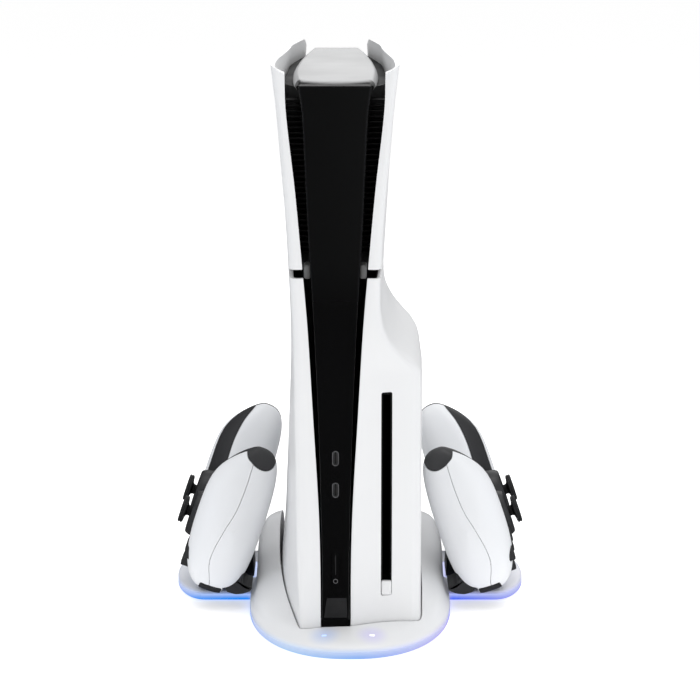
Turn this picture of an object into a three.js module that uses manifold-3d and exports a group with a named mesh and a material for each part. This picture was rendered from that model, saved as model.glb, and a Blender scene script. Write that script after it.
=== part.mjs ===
// Slim upright game console in a lit charging stand, with two wireless controllers docked on it.
// Millimetres, +Z up, front faces -Y, origin at the centre of the footprint on the ground.
import * as THREE from 'three';
import { mergeVertices } from 'three/addons/utils/BufferGeometryUtils.js';
import Module from 'manifold-3d';

const wasm = await Module();
wasm.setup();

// ---------------------------------------------------------------- driving dimensions
const GAP = 0.3; // joint line between touching pieces

// console body
const CONSOLE_HEIGHT = 358;
const CONSOLE_DEPTH = 216;
const CONSOLE_WIDTH = 80;
const CONSOLE_FRONT = -100; // Y of its front plane
const CONSOLE_X = -9.1; // its centre plane, off the stand's centre so that the drive fits
const CONSOLE_FLOOR = 12; // height at which it stands in the cradle
const COVER_WALL = 2.6;
const COVER_STANDOFF = 0.8; // air between a cover and the chassis
const WAIST_LOW = 226.8; // height of the waist gap's lower edge above the console's floor
const WAIST_GAP = 5.6;
const BULGE_REACH = 55.5; // drive cover's side, from the centre plane
const FASCIA_START = 6.7; // lower end of the glossy face above the console's floor
const FASCIA_DEPTH = 5.8;
const FASCIA_INSET = 0.4; // its front lies this far behind the console's front plane
const CAP_HEIGHT = 5.6;
const COLLAR_RISE = 10; // covers stand this much above the cap

// disc drive
const SLOT_X = 28.7; // slot in the cover, from the centre plane
const SLOT_WIDTH = 6.9;
const SLOT_LOW = 20; // above the console's floor
const SLOT_HEIGHT = 133;
const EJECT_HEIGHT = 9.4;
const EJECT_DEPTH = 3.2;
const EJECT_FRONT = 9; // behind the console's front plane
const BEZEL_FRONT = 9.6;
const MOUTH_WIDTH = 4.8;
const MOUTH_HEIGHT = 121;
const MOUTH_DEPTH = 122;
const DRIVE_SIZE = [22.6, 134, 146]; // x, y, z
const DRIVE_LEFT = 25.4; // the drive's near corner, from the centre plane, the front and the floor
const DRIVE_FRONT = 19.4;
const DRIVE_LOW = 16;
const BULGE_TURN = 2.2; // the drive cover starts to turn inwards this far before the drive's back

// fans
const BLOWER_RADIUS = 40;
const BLOWER_THICK = 13;
const STAND_FAN_RADIUS = 22;
const STAND_FAN_THICK = 3.6;

// stand
const BASE_HALF_WIDTH = 66.7;
const BASE_FRONT = -122;
const BASE_BACK = 112;
const WIDEST = 0.46; // share of the stand's length at which it is widest
const WING_REACH = 118.4;
const WING_DEPTH = 92;
const WING_END = 20.7; // length of a wing's rounded end
const WING_TOP = 6.9;
const FOOT_HEIGHT = 1;
const STRIP_TOP = 4.4;
const STRIP_WIDTH = 2.7;
const HUMP_TOP = 47;
const CRADLE_CLEAR = 1;

// controllers
const PAD_HALF_WIDTH = 80;
const PAD_WALL = 2.2;
const PAD_LEAN = 19; // degrees from upright
const PAD_STICK_X = 113.9; // stick caps' distance from the stand's centre plane
const PAD_STICK_Z = 59;
const PAD_Y = 42; // both controllers are centred here
const STICK_SPACING = 53;
const STICK_TOP = 14.4;
const STICK_RADIUS = 9.2;
const STICK_PIVOT = -5;
const STICK_HOLE = STICK_RADIUS + 1;
const COLLAR_TOP = 7.5;
const FACE_BUTTON_RADIUS = 5.2;
const CLUSTER = [53, 17]; // centre of the face buttons, and of the direction pad on the other side
const CLUSTER_RADIUS = 9.6;

// ---------------------------------------------------------------- small tools
const SMOOTH_ENDS = 1e-9;
const CUT_TOLERANCE = 0.03; // edges shorter than this are closed after a cut

// smooth curve through a short list of [position, value] pairs
function curve(pairs, t) {
  const n = pairs.length - 1;
  if (t <= pairs[0][0]) return pairs[0][1];
  if (t >= pairs[n][0]) return pairs[n][1];
  let i = 0;
  while (t > pairs[i + 1][0]) i += 1;
  const slope = (k) => {
    const a = pairs[Math.max(0, k - 1)];
    const b = pairs[Math.min(n, k + 1)];
    return (b[1] - a[1]) / (b[0] - a[0] + SMOOTH_ENDS);
  };
  const step = pairs[i + 1][0] - pairs[i][0];
  const s = (t - pairs[i][0]) / step;
  const h = s * s * (3 - 2 * s);
  const m0 = slope(i) * step * (s * (1 - s) * (1 - s));
  const m1 = slope(i + 1) * step * (s * s * (s - 1));
  return pairs[i][1] * (1 - h) + pairs[i + 1][1] * h + m0 + m1;
}

const lerp = THREE.MathUtils.lerp;
const span = (from, to, count) => Array.from({ length: count }, (_, i) => lerp(from, to, i / (count - 1)));

// a closed solid through rings of points; 'strip' rings fold back on themselves
function loft(rings, kind = 'round') {
  const n = rings[0].length;
  const points = rings.flat();
  const faces = [];
  for (let r = 0; r < rings.length - 1; r += 1) {
    for (let i = 0; i < n; i += 1) {
      const a = r * n + i;
      const b = r * n + ((i + 1) % n);
      faces.push(a, b, b + n, a, b + n, a + n);
    }
  }
  for (const [start, flip] of [[0, true], [(rings.length - 1) * n, false]]) {
    const cap = [];
    if (kind === 'strip') {
      for (let i = 0; i < n / 2 - 1; i += 1) {
        const a = start + i;
        const b = start + n - 1 - i;
        cap.push([a, a + 1, b - 1], [a, b - 1, b]);
      }
    } else {
      const middle = new THREE.Vector3();
      for (let i = 0; i < n; i += 1) middle.addScaledVector(points[start + i], 1 / n);
      points.push(middle);
      for (let i = 0; i < n; i += 1) cap.push([start + i, start + ((i + 1) % n), points.length - 1]);
    }
    for (const [a, b, c] of cap) faces.push(...(flip ? [a, c, b] : [a, b, c]));
  }
  let volume = 0;
  const cross = new THREE.Vector3();
  for (let i = 0; i < faces.length; i += 3) {
    cross.crossVectors(points[faces[i + 1]], points[faces[i + 2]]);
    volume += points[faces[i]].dot(cross);
  }
  if (volume < 0) faces.reverse();
  const geometry = new THREE.BufferGeometry();
  geometry.setAttribute('position', new THREE.Float32BufferAttribute(points.flatMap((p) => p.toArray()), 3));
  geometry.setIndex(faces);
  return geometry;
}

function solid(geometry) {
  geometry.deleteAttribute('normal');
  geometry.deleteAttribute('uv');
  const merged = mergeVertices(geometry, 1e-4);
  const vertProperties = new Float32Array(merged.attributes.position.array);
  const triVerts = new Uint32Array(merged.index.array);
  return new wasm.Manifold(new wasm.Mesh({ numProp: 3, vertProperties, triVerts }));
}

// the piece itself, without slivers that a cut has left beside it
function mainBody(body) {
  const pieces = body.decompose();
  return pieces.reduce((best, piece) => (piece.volume() > best.volume() ? piece : best));
}

function surface(body) {
  const { vertProperties, triVerts } = mainBody(body).simplify(CUT_TOLERANCE).getMesh();
  const geometry = new THREE.BufferGeometry();
  geometry.setAttribute('position', new THREE.BufferAttribute(new Float32Array(vertProperties), 3));
  geometry.setIndex(new THREE.BufferAttribute(new Uint32Array(triVerts), 1));
  return geometry;
}

function box(x0, x1, y0, y1, z0, z1) {
  const geometry = new THREE.BoxGeometry(x1 - x0, y1 - y0, z1 - z0);
  return geometry.translate((x0 + x1) / 2, (y0 + y1) / 2, (z0 + z1) / 2);
}

// cylinder or cone along Z
function drum(x, y, z0, z1, bottomRadius, topRadius = bottomRadius, sides = 24) {
  const geometry = new THREE.CylinderGeometry(topRadius, bottomRadius, z1 - z0, sides);
  return geometry.rotateX(Math.PI / 2).translate(x, y, (z0 + z1) / 2);
}

// outline in X and Y, raised from z0 to z1
function prism(outline, z0, z1) {
  const shape = new THREE.Shape(outline.map(([x, y]) => new THREE.Vector2(x, y)));
  return new THREE.ExtrudeGeometry(shape, { depth: z1 - z0, bevelEnabled: false }).translate(0, 0, z0);
}

// outline in Y and Z, run along X
const ALONG_X = new THREE.Matrix4().set(0, 0, 1, 0, 1, 0, 0, 0, 0, 1, 0, 0, 0, 0, 0, 1);
function bar(outline, x0, x1) {
  return prism(outline, x0, x1).applyMatrix4(ALONG_X);
}

// the outline moved outwards by a distance (counter-clockwise outlines)
function grown(outline, by) {
  const n = outline.length;
  return outline.map(([x, y], i) => {
    const [px, py] = outline[(i + n - 1) % n];
    const [qx, qy] = outline[(i + 1) % n];
    const length = Math.hypot(qx - px, qy - py);
    return [x + (by * (qy - py)) / length, y - (by * (qx - px)) / length];
  });
}

const mirrored = (half) => [...half, ...half.slice().reverse().map(([x, y]) => [-x, y])];

const part = new THREE.Group();

function addMesh(parent, name, shape, [color, roughness, metalness = 0]) {
  const geometry = shape.isBufferGeometry ? shape : surface(shape);
  const mesh = new THREE.Mesh(geometry, new THREE.MeshStandardMaterial({ color, roughness, metalness }));
  mesh.name = name;
  parent.add(mesh);
}

const COVER_WHITE = [0xe8e9ea, 0.45];
const GLOSS_BLACK = [0x090909, 0.12];
const MATTE_BLACK = [0x121213, 0.6];
const CAP_GREY = [0xcfd0d2, 0.4];
const METAL_GREY = [0x8a8c90, 0.35, 0.8];
const PAD_WHITE = [0xe2e4e8, 0.42];
const PAD_BLACK = [0x3a3a3c, 0.55];
const RUBBER = [0x1c1c1d, 0.8];
const GLOW = [0x5a8cff, 0.3];

// ---------------------------------------------------------------- console
// Half-widths are shares of half the console's width, against the share of its height.
const FRONT_HALF = [[0, 0.55], [0.1, 0.59], [0.4, 0.635], [0.545, 0.655], [0.615, 0.69],
  [0.72, 0.74], [0.855, 0.845], [0.925, 0.9], [1, 0.975]];
const MIDDLE_HALF = [[0, 0.94], [0.04, 0.925], [0.13, 0.86], [0.22, 0.825], [0.33, 0.785],
  [0.47, 0.745], [0.615, 0.78], [0.79, 0.86], [0.925, 0.88], [1, 0.81]];
const BACK_HALF = [[0, 0.8], [0.33, 0.7], [0.6, 0.64], [0.8, 0.6], [1, 0.545]];
const COVER_EDGE = [[0, 0.237], [0.11, 0.24], [0.22, 0.265], [0.4, 0.355], [0.545, 0.43],
  [0.654, 0.51], [0.788, 0.617], [0.925, 0.75], [1, 0.765]];
const FACE_HALF = [[0, 0.225], [0.11, 0.2175], [0.22, 0.235], [0.4, 0.28], [0.58, 0.3525],
  [0.72, 0.425], [0.855, 0.478], [0.925, 0.51], [0.958, 0.555], [1, 0.58]];
// how far the drive cover has swelled, against the share of the height
const BULGE = [[0.455, 1], [0.469, 0.93], [0.483, 0.745], [0.497, 0.56], [0.511, 0.4],
  [0.525, 0.28], [0.545, 0.15], [0.58, 0.04], [0.62, 0]];
const BULGE_PLAN_X = [0.19, 0.5, 0.79, 0.9, 0.975, 0.99, 1, 1, 1, 0.99, 0.92, 0.74, 0.6];
const BULGE_PLAN_Y = [0.009, 0.037, 0.058, 0.069, 0.095, 0.19, 0.3, 0.42, 0.56, 0.7, 0.83, 0.93, 1];
const BULGE_TURN_SHARE = 0.7; // the plan's share that lies where the cover turns inwards
const BACK_SHARE = 0.985; // the chassis and the cap end at this share of the depth
const SIDE_SHARES = [0.028, 0.09, 0.19, 0.3, 0.42, 0.56, 0.7, 0.83, 0.93, 1]; // of the depth

const halfWidth = CONSOLE_WIDTH / 2;
const heightShare = (z) => (z - CONSOLE_FLOOR) / CONSOLE_HEIGHT;
const widthAt = (table, z) => curve(table, heightShare(z)) * halfWidth;

// half-width of a cover's outer face at a height and a share of the depth
function coverHalf(z, depthShare) {
  const front = widthAt(FRONT_HALF, z);
  const middle = widthAt(MIDDLE_HALF, z);
  const back = widthAt(BACK_HALF, z);
  const swell = Math.sin((Math.PI / 2) * Math.min(1, depthShare / 0.55));
  const fall = THREE.MathUtils.smoothstep(depthShare, 0.62, 1.12);
  return lerp(lerp(front, middle, swell), back, fall);
}

// depth of a point of the drive cover's plan: along the drive up to its back, then on to the console's back
function bulgeDepth(share) {
  const turn = DRIVE_FRONT + DRIVE_SIZE[1] - BULGE_TURN;
  if (share <= BULGE_TURN_SHARE) return (turn * share) / BULGE_TURN_SHARE;
  return lerp(turn, CONSOLE_DEPTH, (share - BULGE_TURN_SHARE) / (1 - BULGE_TURN_SHARE));
}

// plan of a cover's outer face from its front inner edge to the back
function coverPlan(z, bulging) {
  const edge = widthAt(COVER_EDGE, z);
  const front = coverHalf(z, SIDE_SHARES[0]);
  const plan = [[edge, 1.4], [lerp(edge, front, 0.5), 0.9], [front - 1.6, 2.2]];
  for (const share of SIDE_SHARES) plan.push([coverHalf(z, share), share * CONSOLE_DEPTH]);
  if (!bulging) return plan;
  const swell = curve(BULGE, heightShare(z));
  return plan.map(([x, y], i) => {
    const reach = i === 0 ? edge : BULGE_PLAN_X[i] * BULGE_REACH;
    return [lerp(x, reach, swell), lerp(y, bulgeDepth(BULGE_PLAN_Y[i]), swell)];
  });
}

// inner face of a cover: its plan moved in by the wall
function offsetPlan(plan, by) {
  return plan.map(([x, y], i) => {
    const [px, py] = plan[Math.max(0, i - 1)];
    const [qx, qy] = plan[Math.min(plan.length - 1, i + 1)];
    const length = Math.hypot(qx - px, qy - py);
    if (i === 0) return [x, y + by];
    return [x - (by * (qy - py)) / length, y + (by * (qx - px)) / length];
  });
}

const consoleTop = CONSOLE_FLOOR + CONSOLE_HEIGHT;
const waistLow = CONSOLE_FLOOR + WAIST_LOW;
const waistHigh = waistLow + WAIST_GAP;
const TOP_FALL = 4; // covers' top edge drops this much towards the back

// cover between two heights; side is -1 for left and 1 for right
function cover(side, levels, bulging = false, slopingTop = false) {
  const low = levels[0];
  const high = levels[levels.length - 1];
  const rings = levels.map((level) => {
    const outer = coverPlan(level, bulging);
    const inner = offsetPlan(outer, COVER_WALL);
    const ring = [...outer, ...inner.reverse()];
    return ring.map(([x, y]) => {
      const fall = slopingTop ? (TOP_FALL * (y / CONSOLE_DEPTH) * (level - low)) / (high - low) : 0;
      return new THREE.Vector3(CONSOLE_X + side * x, CONSOLE_FRONT + y, level - fall);
    });
  });
  return loft(rings, 'strip');
}

// chassis outline at a height: narrow behind the glossy face, wide under the covers
function chassisRing(z) {
  const face = widthAt(FACE_HALF, z);
  const inset = COVER_WALL + COVER_STANDOFF;
  const half = [[face, FASCIA_DEPTH + GAP], [face + 0.4, 24]];
  half.push([Math.min(face + 9, coverHalf(z, 0.19) - inset), 42]);
  for (const share of [0.3, 0.42, 0.56, 0.7, 0.83, 0.93]) {
    half.push([coverHalf(z, share) - inset, share * CONSOLE_DEPTH]);
  }
  half.push([coverHalf(z, BACK_SHARE) - inset, BACK_SHARE * CONSOLE_DEPTH]);
  return mirrored(half).map(([x, y]) => new THREE.Vector3(CONSOLE_X + x, CONSOLE_FRONT + y, z));
}

const capTop = consoleTop - COLLAR_RISE;
const chassisTop = capTop - CAP_HEIGHT - GAP;
const fasciaTop = chassisTop + 2;
const LEVELS_LOW = [0, 0.04, 0.13, 0.22, 0.33, 0.44, 0.54];
const belowWaist = (shares) => {
  const heights = shares.map((share) => CONSOLE_FLOOR + share * CONSOLE_HEIGHT);
  return [...heights.filter((z) => z < waistLow - 1), waistLow];
};
const lowerLevels = belowWaist(LEVELS_LOW);
const upperLevels = span(waistHigh, consoleTop, 7);
const drivePoint = (x, y, z) => [CONSOLE_X + x, CONSOLE_FRONT + y, CONSOLE_FLOOR + z];
const slotHigh = SLOT_LOW + SLOT_HEIGHT;

function driveBox(clear) {
  const [x, y, z] = drivePoint(DRIVE_LEFT, DRIVE_FRONT, DRIVE_LOW);
  const [sx, sy, sz] = DRIVE_SIZE;
  return box(x - clear, x + sx + clear, y - clear, y + sy + clear, z - clear, z + sz + clear);
}

// round pocket and rotor for the main fan, on the left side under the upper cover
const BLOWER_SHARE = [0.53, 0.8]; // place along the depth and the height
const blowerY = CONSOLE_FRONT + BLOWER_SHARE[0] * CONSOLE_DEPTH;
const blowerZ = CONSOLE_FLOOR + BLOWER_SHARE[1] * CONSOLE_HEIGHT;
const blowerFace = CONSOLE_X - coverHalf(blowerZ, BLOWER_SHARE[0]) + COVER_WALL + COVER_STANDOFF;

function rotor(radius, thick, blades) {
  let body = solid(drum(0, 0, 0, thick, radius * 0.36));
  for (let i = 0; i < blades; i += 1) {
    const blade = box(radius * 0.3, radius, -0.9, 0.9, thick * 0.12, thick * 0.88);
    blade.rotateX(0.25).rotateZ((i * 2 * Math.PI) / blades);
    body = body.add(solid(blade));
  }
  return surface(body);
}

function addConsole() {
  const shares = [0, 0.04, 0.13, 0.22, 0.4, 0.54, 0.654, 0.79, 0.9];
  const chassisLevels = shares.map((share) => CONSOLE_FLOOR + share * CONSOLE_HEIGHT);
  const rings = [...chassisLevels, chassisTop].map(chassisRing);
  const block = solid(loft(rings));
  const BELT_DEPTH = 3;
  const SEAT_CLEAR = 0.5;
  const BAND_REACH = 0.2;
  const beltRing = (by) => [waistLow, waistHigh].map((z) => {
    const outline = chassisRing(z).map((p) => [p.x, p.y]);
    return grown(outline, by).map(([x, y]) => new THREE.Vector3(x, y, z));
  });
  const beltFront = CONSOLE_FRONT + 20;
  const behindFace = box(-200, 200, beltFront, 200, waistLow - 1, waistHigh + 1);
  const belt = solid(loft(beltRing(SEAT_CLEAR))).subtract(solid(loft(beltRing(-BELT_DEPTH))));
  const groove = belt.intersect(solid(behindFace));
  const BLOWER_INSET = 3;
  const pocket = drum(0, 0, 0, 60, BLOWER_RADIUS + BLOWER_INSET, undefined, 40);
  const BLOWER_POCKET = BLOWER_THICK + 2 * BLOWER_INSET;
  pocket.rotateY(-Math.PI / 2).translate(blowerFace + BLOWER_POCKET, blowerY, blowerZ);
  const chassis = block.subtract(groove).subtract(solid(driveBox(SEAT_CLEAR))).subtract(solid(pocket));
  addMesh(part, 'console_chassis', chassis, MATTE_BLACK);

  const bandCore = solid(loft(beltRing(BAND_REACH))).subtract(solid(loft(beltRing(GAP - BELT_DEPTH))));
  const BAND_EASE = 0.7;
  const bandSpace = box(-200, 200, beltFront + GAP, 200, waistLow + BAND_EASE, waistHigh - BAND_EASE);
  addMesh(part, 'waist_band', bandCore.intersect(solid(bandSpace)), METAL_GREY);

  const fasciaLevels = [FASCIA_START, 40, 79, 140, 200, 258, 300, 330].map((z) => CONSOLE_FLOOR + z);
  const fascia = [...fasciaLevels, fasciaTop].map((z) => {
    const half = widthAt(FACE_HALF, z) - GAP / 2;
    const soft = 0.8;
    const corner = [[half - soft, FASCIA_INSET], [half, FASCIA_INSET + soft]];
    const outline = mirrored([...corner, [half, FASCIA_DEPTH]]);
    return outline.map(([x, y]) => new THREE.Vector3(CONSOLE_X + x, CONSOLE_FRONT + y, z));
  });
  const powerHole = solid(powerShape(GAP, 3));
  addMesh(part, 'front_fascia', solid(loft(fascia)).subtract(powerHole), GLOSS_BLACK);
  addMesh(part, 'power_button', solid(powerShape(0, 2.2)), GLOSS_BLACK);

  const CAP_END = 0.965;
  const capPlan = [[0.555, 0.0], [0.59, 0.02], [0.635, 0.1], [0.67, 0.31], [0.62, 0.56],
    [0.53, 0.78], [0.42, CAP_END]];
  const capRing = (z, inset, frontInset) => mirrored(capPlan.map(([x, share]) => [
    x * halfWidth - inset,
    lerp(frontInset, BACK_SHARE * CONSOLE_DEPTH - inset, share / CAP_END),
  ])).map(([x, y]) => new THREE.Vector3(CONSOLE_X + x, CONSOLE_FRONT + y, z));
  const capLow = chassisTop + GAP;
  // distance below the top, inset, and inset of the front edge
  const CAP_ROUNDING = [[5, 0, 1], [2.3, 0.5, 3], [0.7, 1.6, 6], [0, 3.4, 10]];
  const rounding = CAP_ROUNDING.map(([fall, inset, front]) => capRing(capTop - fall, inset, front));
  const cap = [capRing(capLow, 0, 0.9), ...rounding];
  const behindFascia = CONSOLE_FRONT + FASCIA_DEPTH + GAP;
  const overFascia = box(-60, 60, CONSOLE_FRONT - 5, behindFascia, capLow - 1, fasciaTop + GAP);
  addMesh(part, 'top_cap', solid(loft(cap)).subtract(solid(overFascia)), CAP_GREY);

  addMesh(part, 'lower_left_cover', cover(-1, lowerLevels), COVER_WHITE);
  addMesh(part, 'upper_left_cover', cover(-1, upperLevels, false, true), COVER_WHITE);
  addMesh(part, 'upper_right_cover', cover(1, upperLevels, false, true), COVER_WHITE);
  const bulgeLevels = [...LEVELS_LOW.slice(0, 5), 0.42, ...BULGE.map(([share]) => share)];
  const driveLevels = belowWaist(bulgeLevels);
  const [slotX, slotY, slotZ] = drivePoint(SLOT_X, -5, SLOT_LOW);
  const slotCut = box(slotX, slotX + SLOT_WIDTH, slotY, slotY + 26, slotZ, slotZ + SLOT_HEIGHT);
  addMesh(part, 'drive_cover', solid(cover(1, driveLevels, true)).subtract(solid(slotCut)), COVER_WHITE);

  const RIM = 1.2; // bezel's rim round the mouth, and the space below it
  const ejectZ = SLOT_LOW + GAP + EJECT_HEIGHT;
  const [bx, by, bz] = drivePoint(SLOT_X + GAP, BEZEL_FRONT, ejectZ + RIM);
  const bezelTop = CONSOLE_FLOOR + slotHigh - GAP;
  const bezelBack = CONSOLE_FRONT + DRIVE_FRONT + 2.2;
  const bezel = box(bx, bx + SLOT_WIDTH - 2 * GAP, by, bezelBack, bz, bezelTop);
  const mouthX = CONSOLE_X + SLOT_X + (SLOT_WIDTH - MOUTH_WIDTH) / 2;
  const mouthZ = bezelTop - RIM - MOUTH_HEIGHT;
  const mouth = box(mouthX, mouthX + MOUTH_WIDTH, by - 1, by + MOUTH_DEPTH, mouthZ, mouthZ + MOUTH_HEIGHT);
  addMesh(part, 'disc_drive', solid(driveBox(0)).add(solid(bezel)).subtract(solid(mouth)), MATTE_BLACK);
  const [ex, ey, ez] = drivePoint(SLOT_X + GAP, EJECT_FRONT, SLOT_LOW + GAP);
  const eject = box(ex, ex + SLOT_WIDTH - 2 * GAP, ey, ey + EJECT_DEPTH, ez, ez + EJECT_HEIGHT);
  addMesh(part, 'eject_button', eject, COVER_WHITE);

  const blower = rotor(BLOWER_RADIUS, BLOWER_THICK, 11);
  blower.rotateY(-Math.PI / 2).translate(blowerFace + BLOWER_THICK + BLOWER_INSET, blowerY, blowerZ);
  addMesh(part, 'blower_fan', blower, RUBBER);
}

// upright pill set in the glossy face
const POWER_LOW = 30;
const POWER_LENGTH = 21;
const POWER_RADIUS = 2.6;
function powerShape(clear, depth) {
  const r = POWER_RADIUS + clear;
  const low = CONSOLE_FLOOR + POWER_LOW + POWER_RADIUS;
  const high = low + POWER_LENGTH - 2 * POWER_RADIUS;
  const ARC_STEPS = 8;
  const outline = [];
  for (const [z, start] of [[high, 0], [low, Math.PI]]) {
    for (let i = 0; i <= ARC_STEPS; i += 1) {
      const angle = start + (i * Math.PI) / ARC_STEPS;
      outline.push([CONSOLE_X + r * Math.cos(angle), z + r * Math.sin(angle)]);
    }
  }
  const front = CONSOLE_FRONT + (clear ? -2 : 0.2);
  const back = CONSOLE_FRONT + FASCIA_INSET + depth;
  const pill = prism(outline, 0, back - front);
  return pill.rotateX(Math.PI / 2).translate(0, back, 0);
}

// ---------------------------------------------------------------- stand
const OVAL_POINTS = 36;

function ovalRing(z, half, front, back, power = 2.3) {
  const ring = [];
  for (let i = 0; i < OVAL_POINTS; i += 1) {
    const a = (i * 2 * Math.PI) / OVAL_POINTS;
    const x = half * Math.sign(Math.cos(a)) * Math.abs(Math.cos(a)) ** (2 / power);
    const middle = lerp(front, back, WIDEST);
    const reach = Math.sin(a) < 0 ? front - middle : back - middle;
    ring.push(new THREE.Vector3(x, middle + reach * Math.abs(Math.sin(a)) ** (2 / power), z));
  }
  return ring;
}

const WING_ARC = 6;
function wingOutline(inset) {
  const straight = WING_REACH - WING_END;
  const right = [];
  for (let i = 0; i <= 2 * WING_ARC; i += 1) {
    const a = -Math.PI / 2 + (i * Math.PI) / (2 * WING_ARC);
    right.push([straight + (WING_END - inset) * Math.cos(a), PAD_Y + (WING_DEPTH / 2 - inset) * Math.sin(a)]);
  }
  return [...right, ...right.map(([x, y]) => [-x, 2 * PAD_Y - y])];
}
const wingRing = (z, inset) => wingOutline(inset).map(([x, y]) => new THREE.Vector3(x, y, z));

// the stand's outline, taken in by a distance, between two heights
function standSlab(inset, z0, z1) {
  const half = BASE_HALF_WIDTH - inset;
  const oval = [z0, z1].map((z) => ovalRing(z, half, BASE_FRONT + inset, BASE_BACK - inset));
  return solid(loft(oval)).add(solid(loft([wingRing(z0, inset), wingRing(z1, inset)])));
}

// levels of the stand's body: height, half-width, front and back, as shares of their full sizes
const BODY_LEVELS = [[0, 1, 0, 1], [0.05, 0.995, 0.003, 0.998], [0.11, 0.965, 0.02, 0.992],
  [0.17, 0.95, 0.05, 0.985], [0.21, 0.944, 0.08, 0.975], [0.26, 0.942, 0.136, 0.965],
  [0.36, 0.94, 0.245, 0.95], [0.5, 0.94, 0.353, 0.93], [0.66, 0.93, 0.453, 0.905],
  [0.84, 0.885, 0.553, 0.87], [0.94, 0.82, 0.616, 0.835], [1, 0.67, 0.67, 0.79]];

function standBody(inset) {
  const bottom = STRIP_TOP + GAP;
  const length = BASE_BACK - BASE_FRONT;
  const rings = BODY_LEVELS.map(([rise, half, front, back]) => ovalRing(
    lerp(bottom, HUMP_TOP - inset, rise),
    BASE_HALF_WIDTH * half - inset,
    BASE_FRONT + front * length + inset,
    BASE_FRONT + back * length - inset,
  ));
  return solid(loft(rings));
}

// space that the console's foot takes, with clearance, up to the top of the stand
function cradleSpace(clear, z0, z1) {
  const low = CONSOLE_FLOOR + 1;
  const left = coverPlan(low, false).map(([x, y]) => [CONSOLE_X - x, CONSOLE_FRONT + y]);
  const right = coverPlan(low, true).map(([x, y]) => [CONSOLE_X + x, CONSOLE_FRONT + y]);
  return prism(grown([...right, ...left.reverse()], clear), z0, z1);
}

function addStand() {
  const bottom = STRIP_TOP + GAP;
  const WING_ROUNDING = [[1.4, 0.2], [0.4, 1.2], [0, 2.8]]; // distance below the top, inset
  const wingRings = WING_ROUNDING.map(([fall, inset]) => wingRing(WING_TOP - fall, inset));
  const wings = solid(loft([wingRing(bottom, 0), ...wingRings]));
  const SHELL_WALL = 2.4;
  const WING_SKIN = 1.6;
  const FLOOR_SKIN = 2;
  const floorTop = CONSOLE_FLOOR - GAP;
  const floorUnder = floorTop - FLOOR_SKIN;
  const hollow = solid(loft([ovalRing(bottom - 1, BASE_HALF_WIDTH - 5, BASE_FRONT + 6, BASE_BACK - 6),
    ovalRing(floorUnder, BASE_HALF_WIDTH - 7, BASE_FRONT + 12, BASE_BACK - 8)]));
  const wingHollow = loft([wingRing(bottom - 1, SHELL_WALL), wingRing(WING_TOP - WING_SKIN, SHELL_WALL)]);
  let shell = standBody(0).add(wings).subtract(solid(cradleSpace(CRADLE_CLEAR, floorTop, HUMP_TOP + 5)));
  shell = shell.subtract(hollow).subtract(solid(wingHollow));
  const VENT_COUNT = 9;
  const VENT_PITCH = 8;
  const VENT_HALF = [18, 2.2]; // half-length and half-width of a vent
  for (let i = 0; i < VENT_COUNT; i += 1) {
    const y = CONSOLE_FRONT + CONSOLE_DEPTH / 2 + (i - (VENT_COUNT - 1) / 2) * VENT_PITCH;
    const vent = box(-VENT_HALF[0], VENT_HALF[0], -VENT_HALF[1], VENT_HALF[1], floorUnder - 1, floorTop + 1);
    shell = shell.subtract(solid(vent.translate(CONSOLE_X, y, 0)));
  }
  addMesh(part, 'stand_shell', shell, COVER_WHITE);

  addMesh(part, 'stand_base', standSlab(STRIP_WIDTH + GAP, FOOT_HEIGHT, STRIP_TOP), COVER_WHITE);
  const STRIP_LIP = 0.2; // the strip reaches this much lower than the base
  const inside = standSlab(STRIP_WIDTH, FOOT_HEIGHT - 1, STRIP_TOP + 1);
  addMesh(part, 'light_strip', standSlab(0, FOOT_HEIGHT - STRIP_LIP, STRIP_TOP).subtract(inside), GLOW);

  const FOOT_BAND = 7;
  const footInset = STRIP_WIDTH + 1.2;
  const footTop = FOOT_HEIGHT - GAP;
  const ringInside = solid(prism(wingOutline(footInset + FOOT_BAND), -1, 2));
  const ring = solid(prism(wingOutline(footInset), 0, footTop)).subtract(ringInside);
  addMesh(part, 'wing_foot_ring', ring, RUBBER);
  const arcs = [footInset, footInset + FOOT_BAND].map((inset) => solid(loft([0, footTop].map((z) => (
    ovalRing(z, BASE_HALF_WIDTH - inset, BASE_FRONT + inset, BASE_BACK - inset))))));
  const frontOnly = solid(box(-45, 45, BASE_FRONT, BASE_FRONT + 30, -1, 2));
  addMesh(part, 'front_foot_pad', arcs[0].subtract(arcs[1]).intersect(frontOnly), RUBBER);

  const fan = rotor(STAND_FAN_RADIUS, STAND_FAN_THICK, 9);
  const FAN_CLEAR = 0.7;
  fan.translate(CONSOLE_X, CONSOLE_FRONT + CONSOLE_DEPTH / 2, STRIP_TOP + FAN_CLEAR);
  addMesh(part, 'stand_fan', fan, RUBBER);
}

// ---------------------------------------------------------------- controllers
// Own frame: x to the player's right, y towards the triggers, z out of the face, origin between the sticks.
const FORE_EDGE = [[0, 41.2], [30, 41.6], [50, 40.6], [60, 37.6], [68, 31], [74, 20], [78, 6],
  [79.6, -4], [80, -10]];
const AFT_EDGE = [[0, -18], [20, -18.5], [30, -22.5], [36, -30], [42, -41.5], [48, -54.5],
  [54, -63.5], [59, -66.5], [64, -65], [69, -58], [73, -47.5], [77, -31], [79.3, -18], [80, -12]];
const HALF_THICK = [[0, 15], [30, 17.2], [45, 20.8], [60, 22.5], [68, 20.8], [74, 16.5], [78, 10],
  [80, 4.5]];
const MIDDLE_Z = [[0, -15], [30, -16.2], [45, -17.3], [60, -17.5], [80, -17]];
const SEAM = [[-80, -19.6], [-57, -19.8], [-40, -20], [-24, -18.8], [-11, -15.8], [5, -13.2],
  [16, -13.4], [31, -18], [50, -20]];
const TRIM_EDGE = [[-80, -22], [-66, -15.6], [-53, -9.6], [-38, -6.9], [-19, -7], [60, -7.4]];
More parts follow.
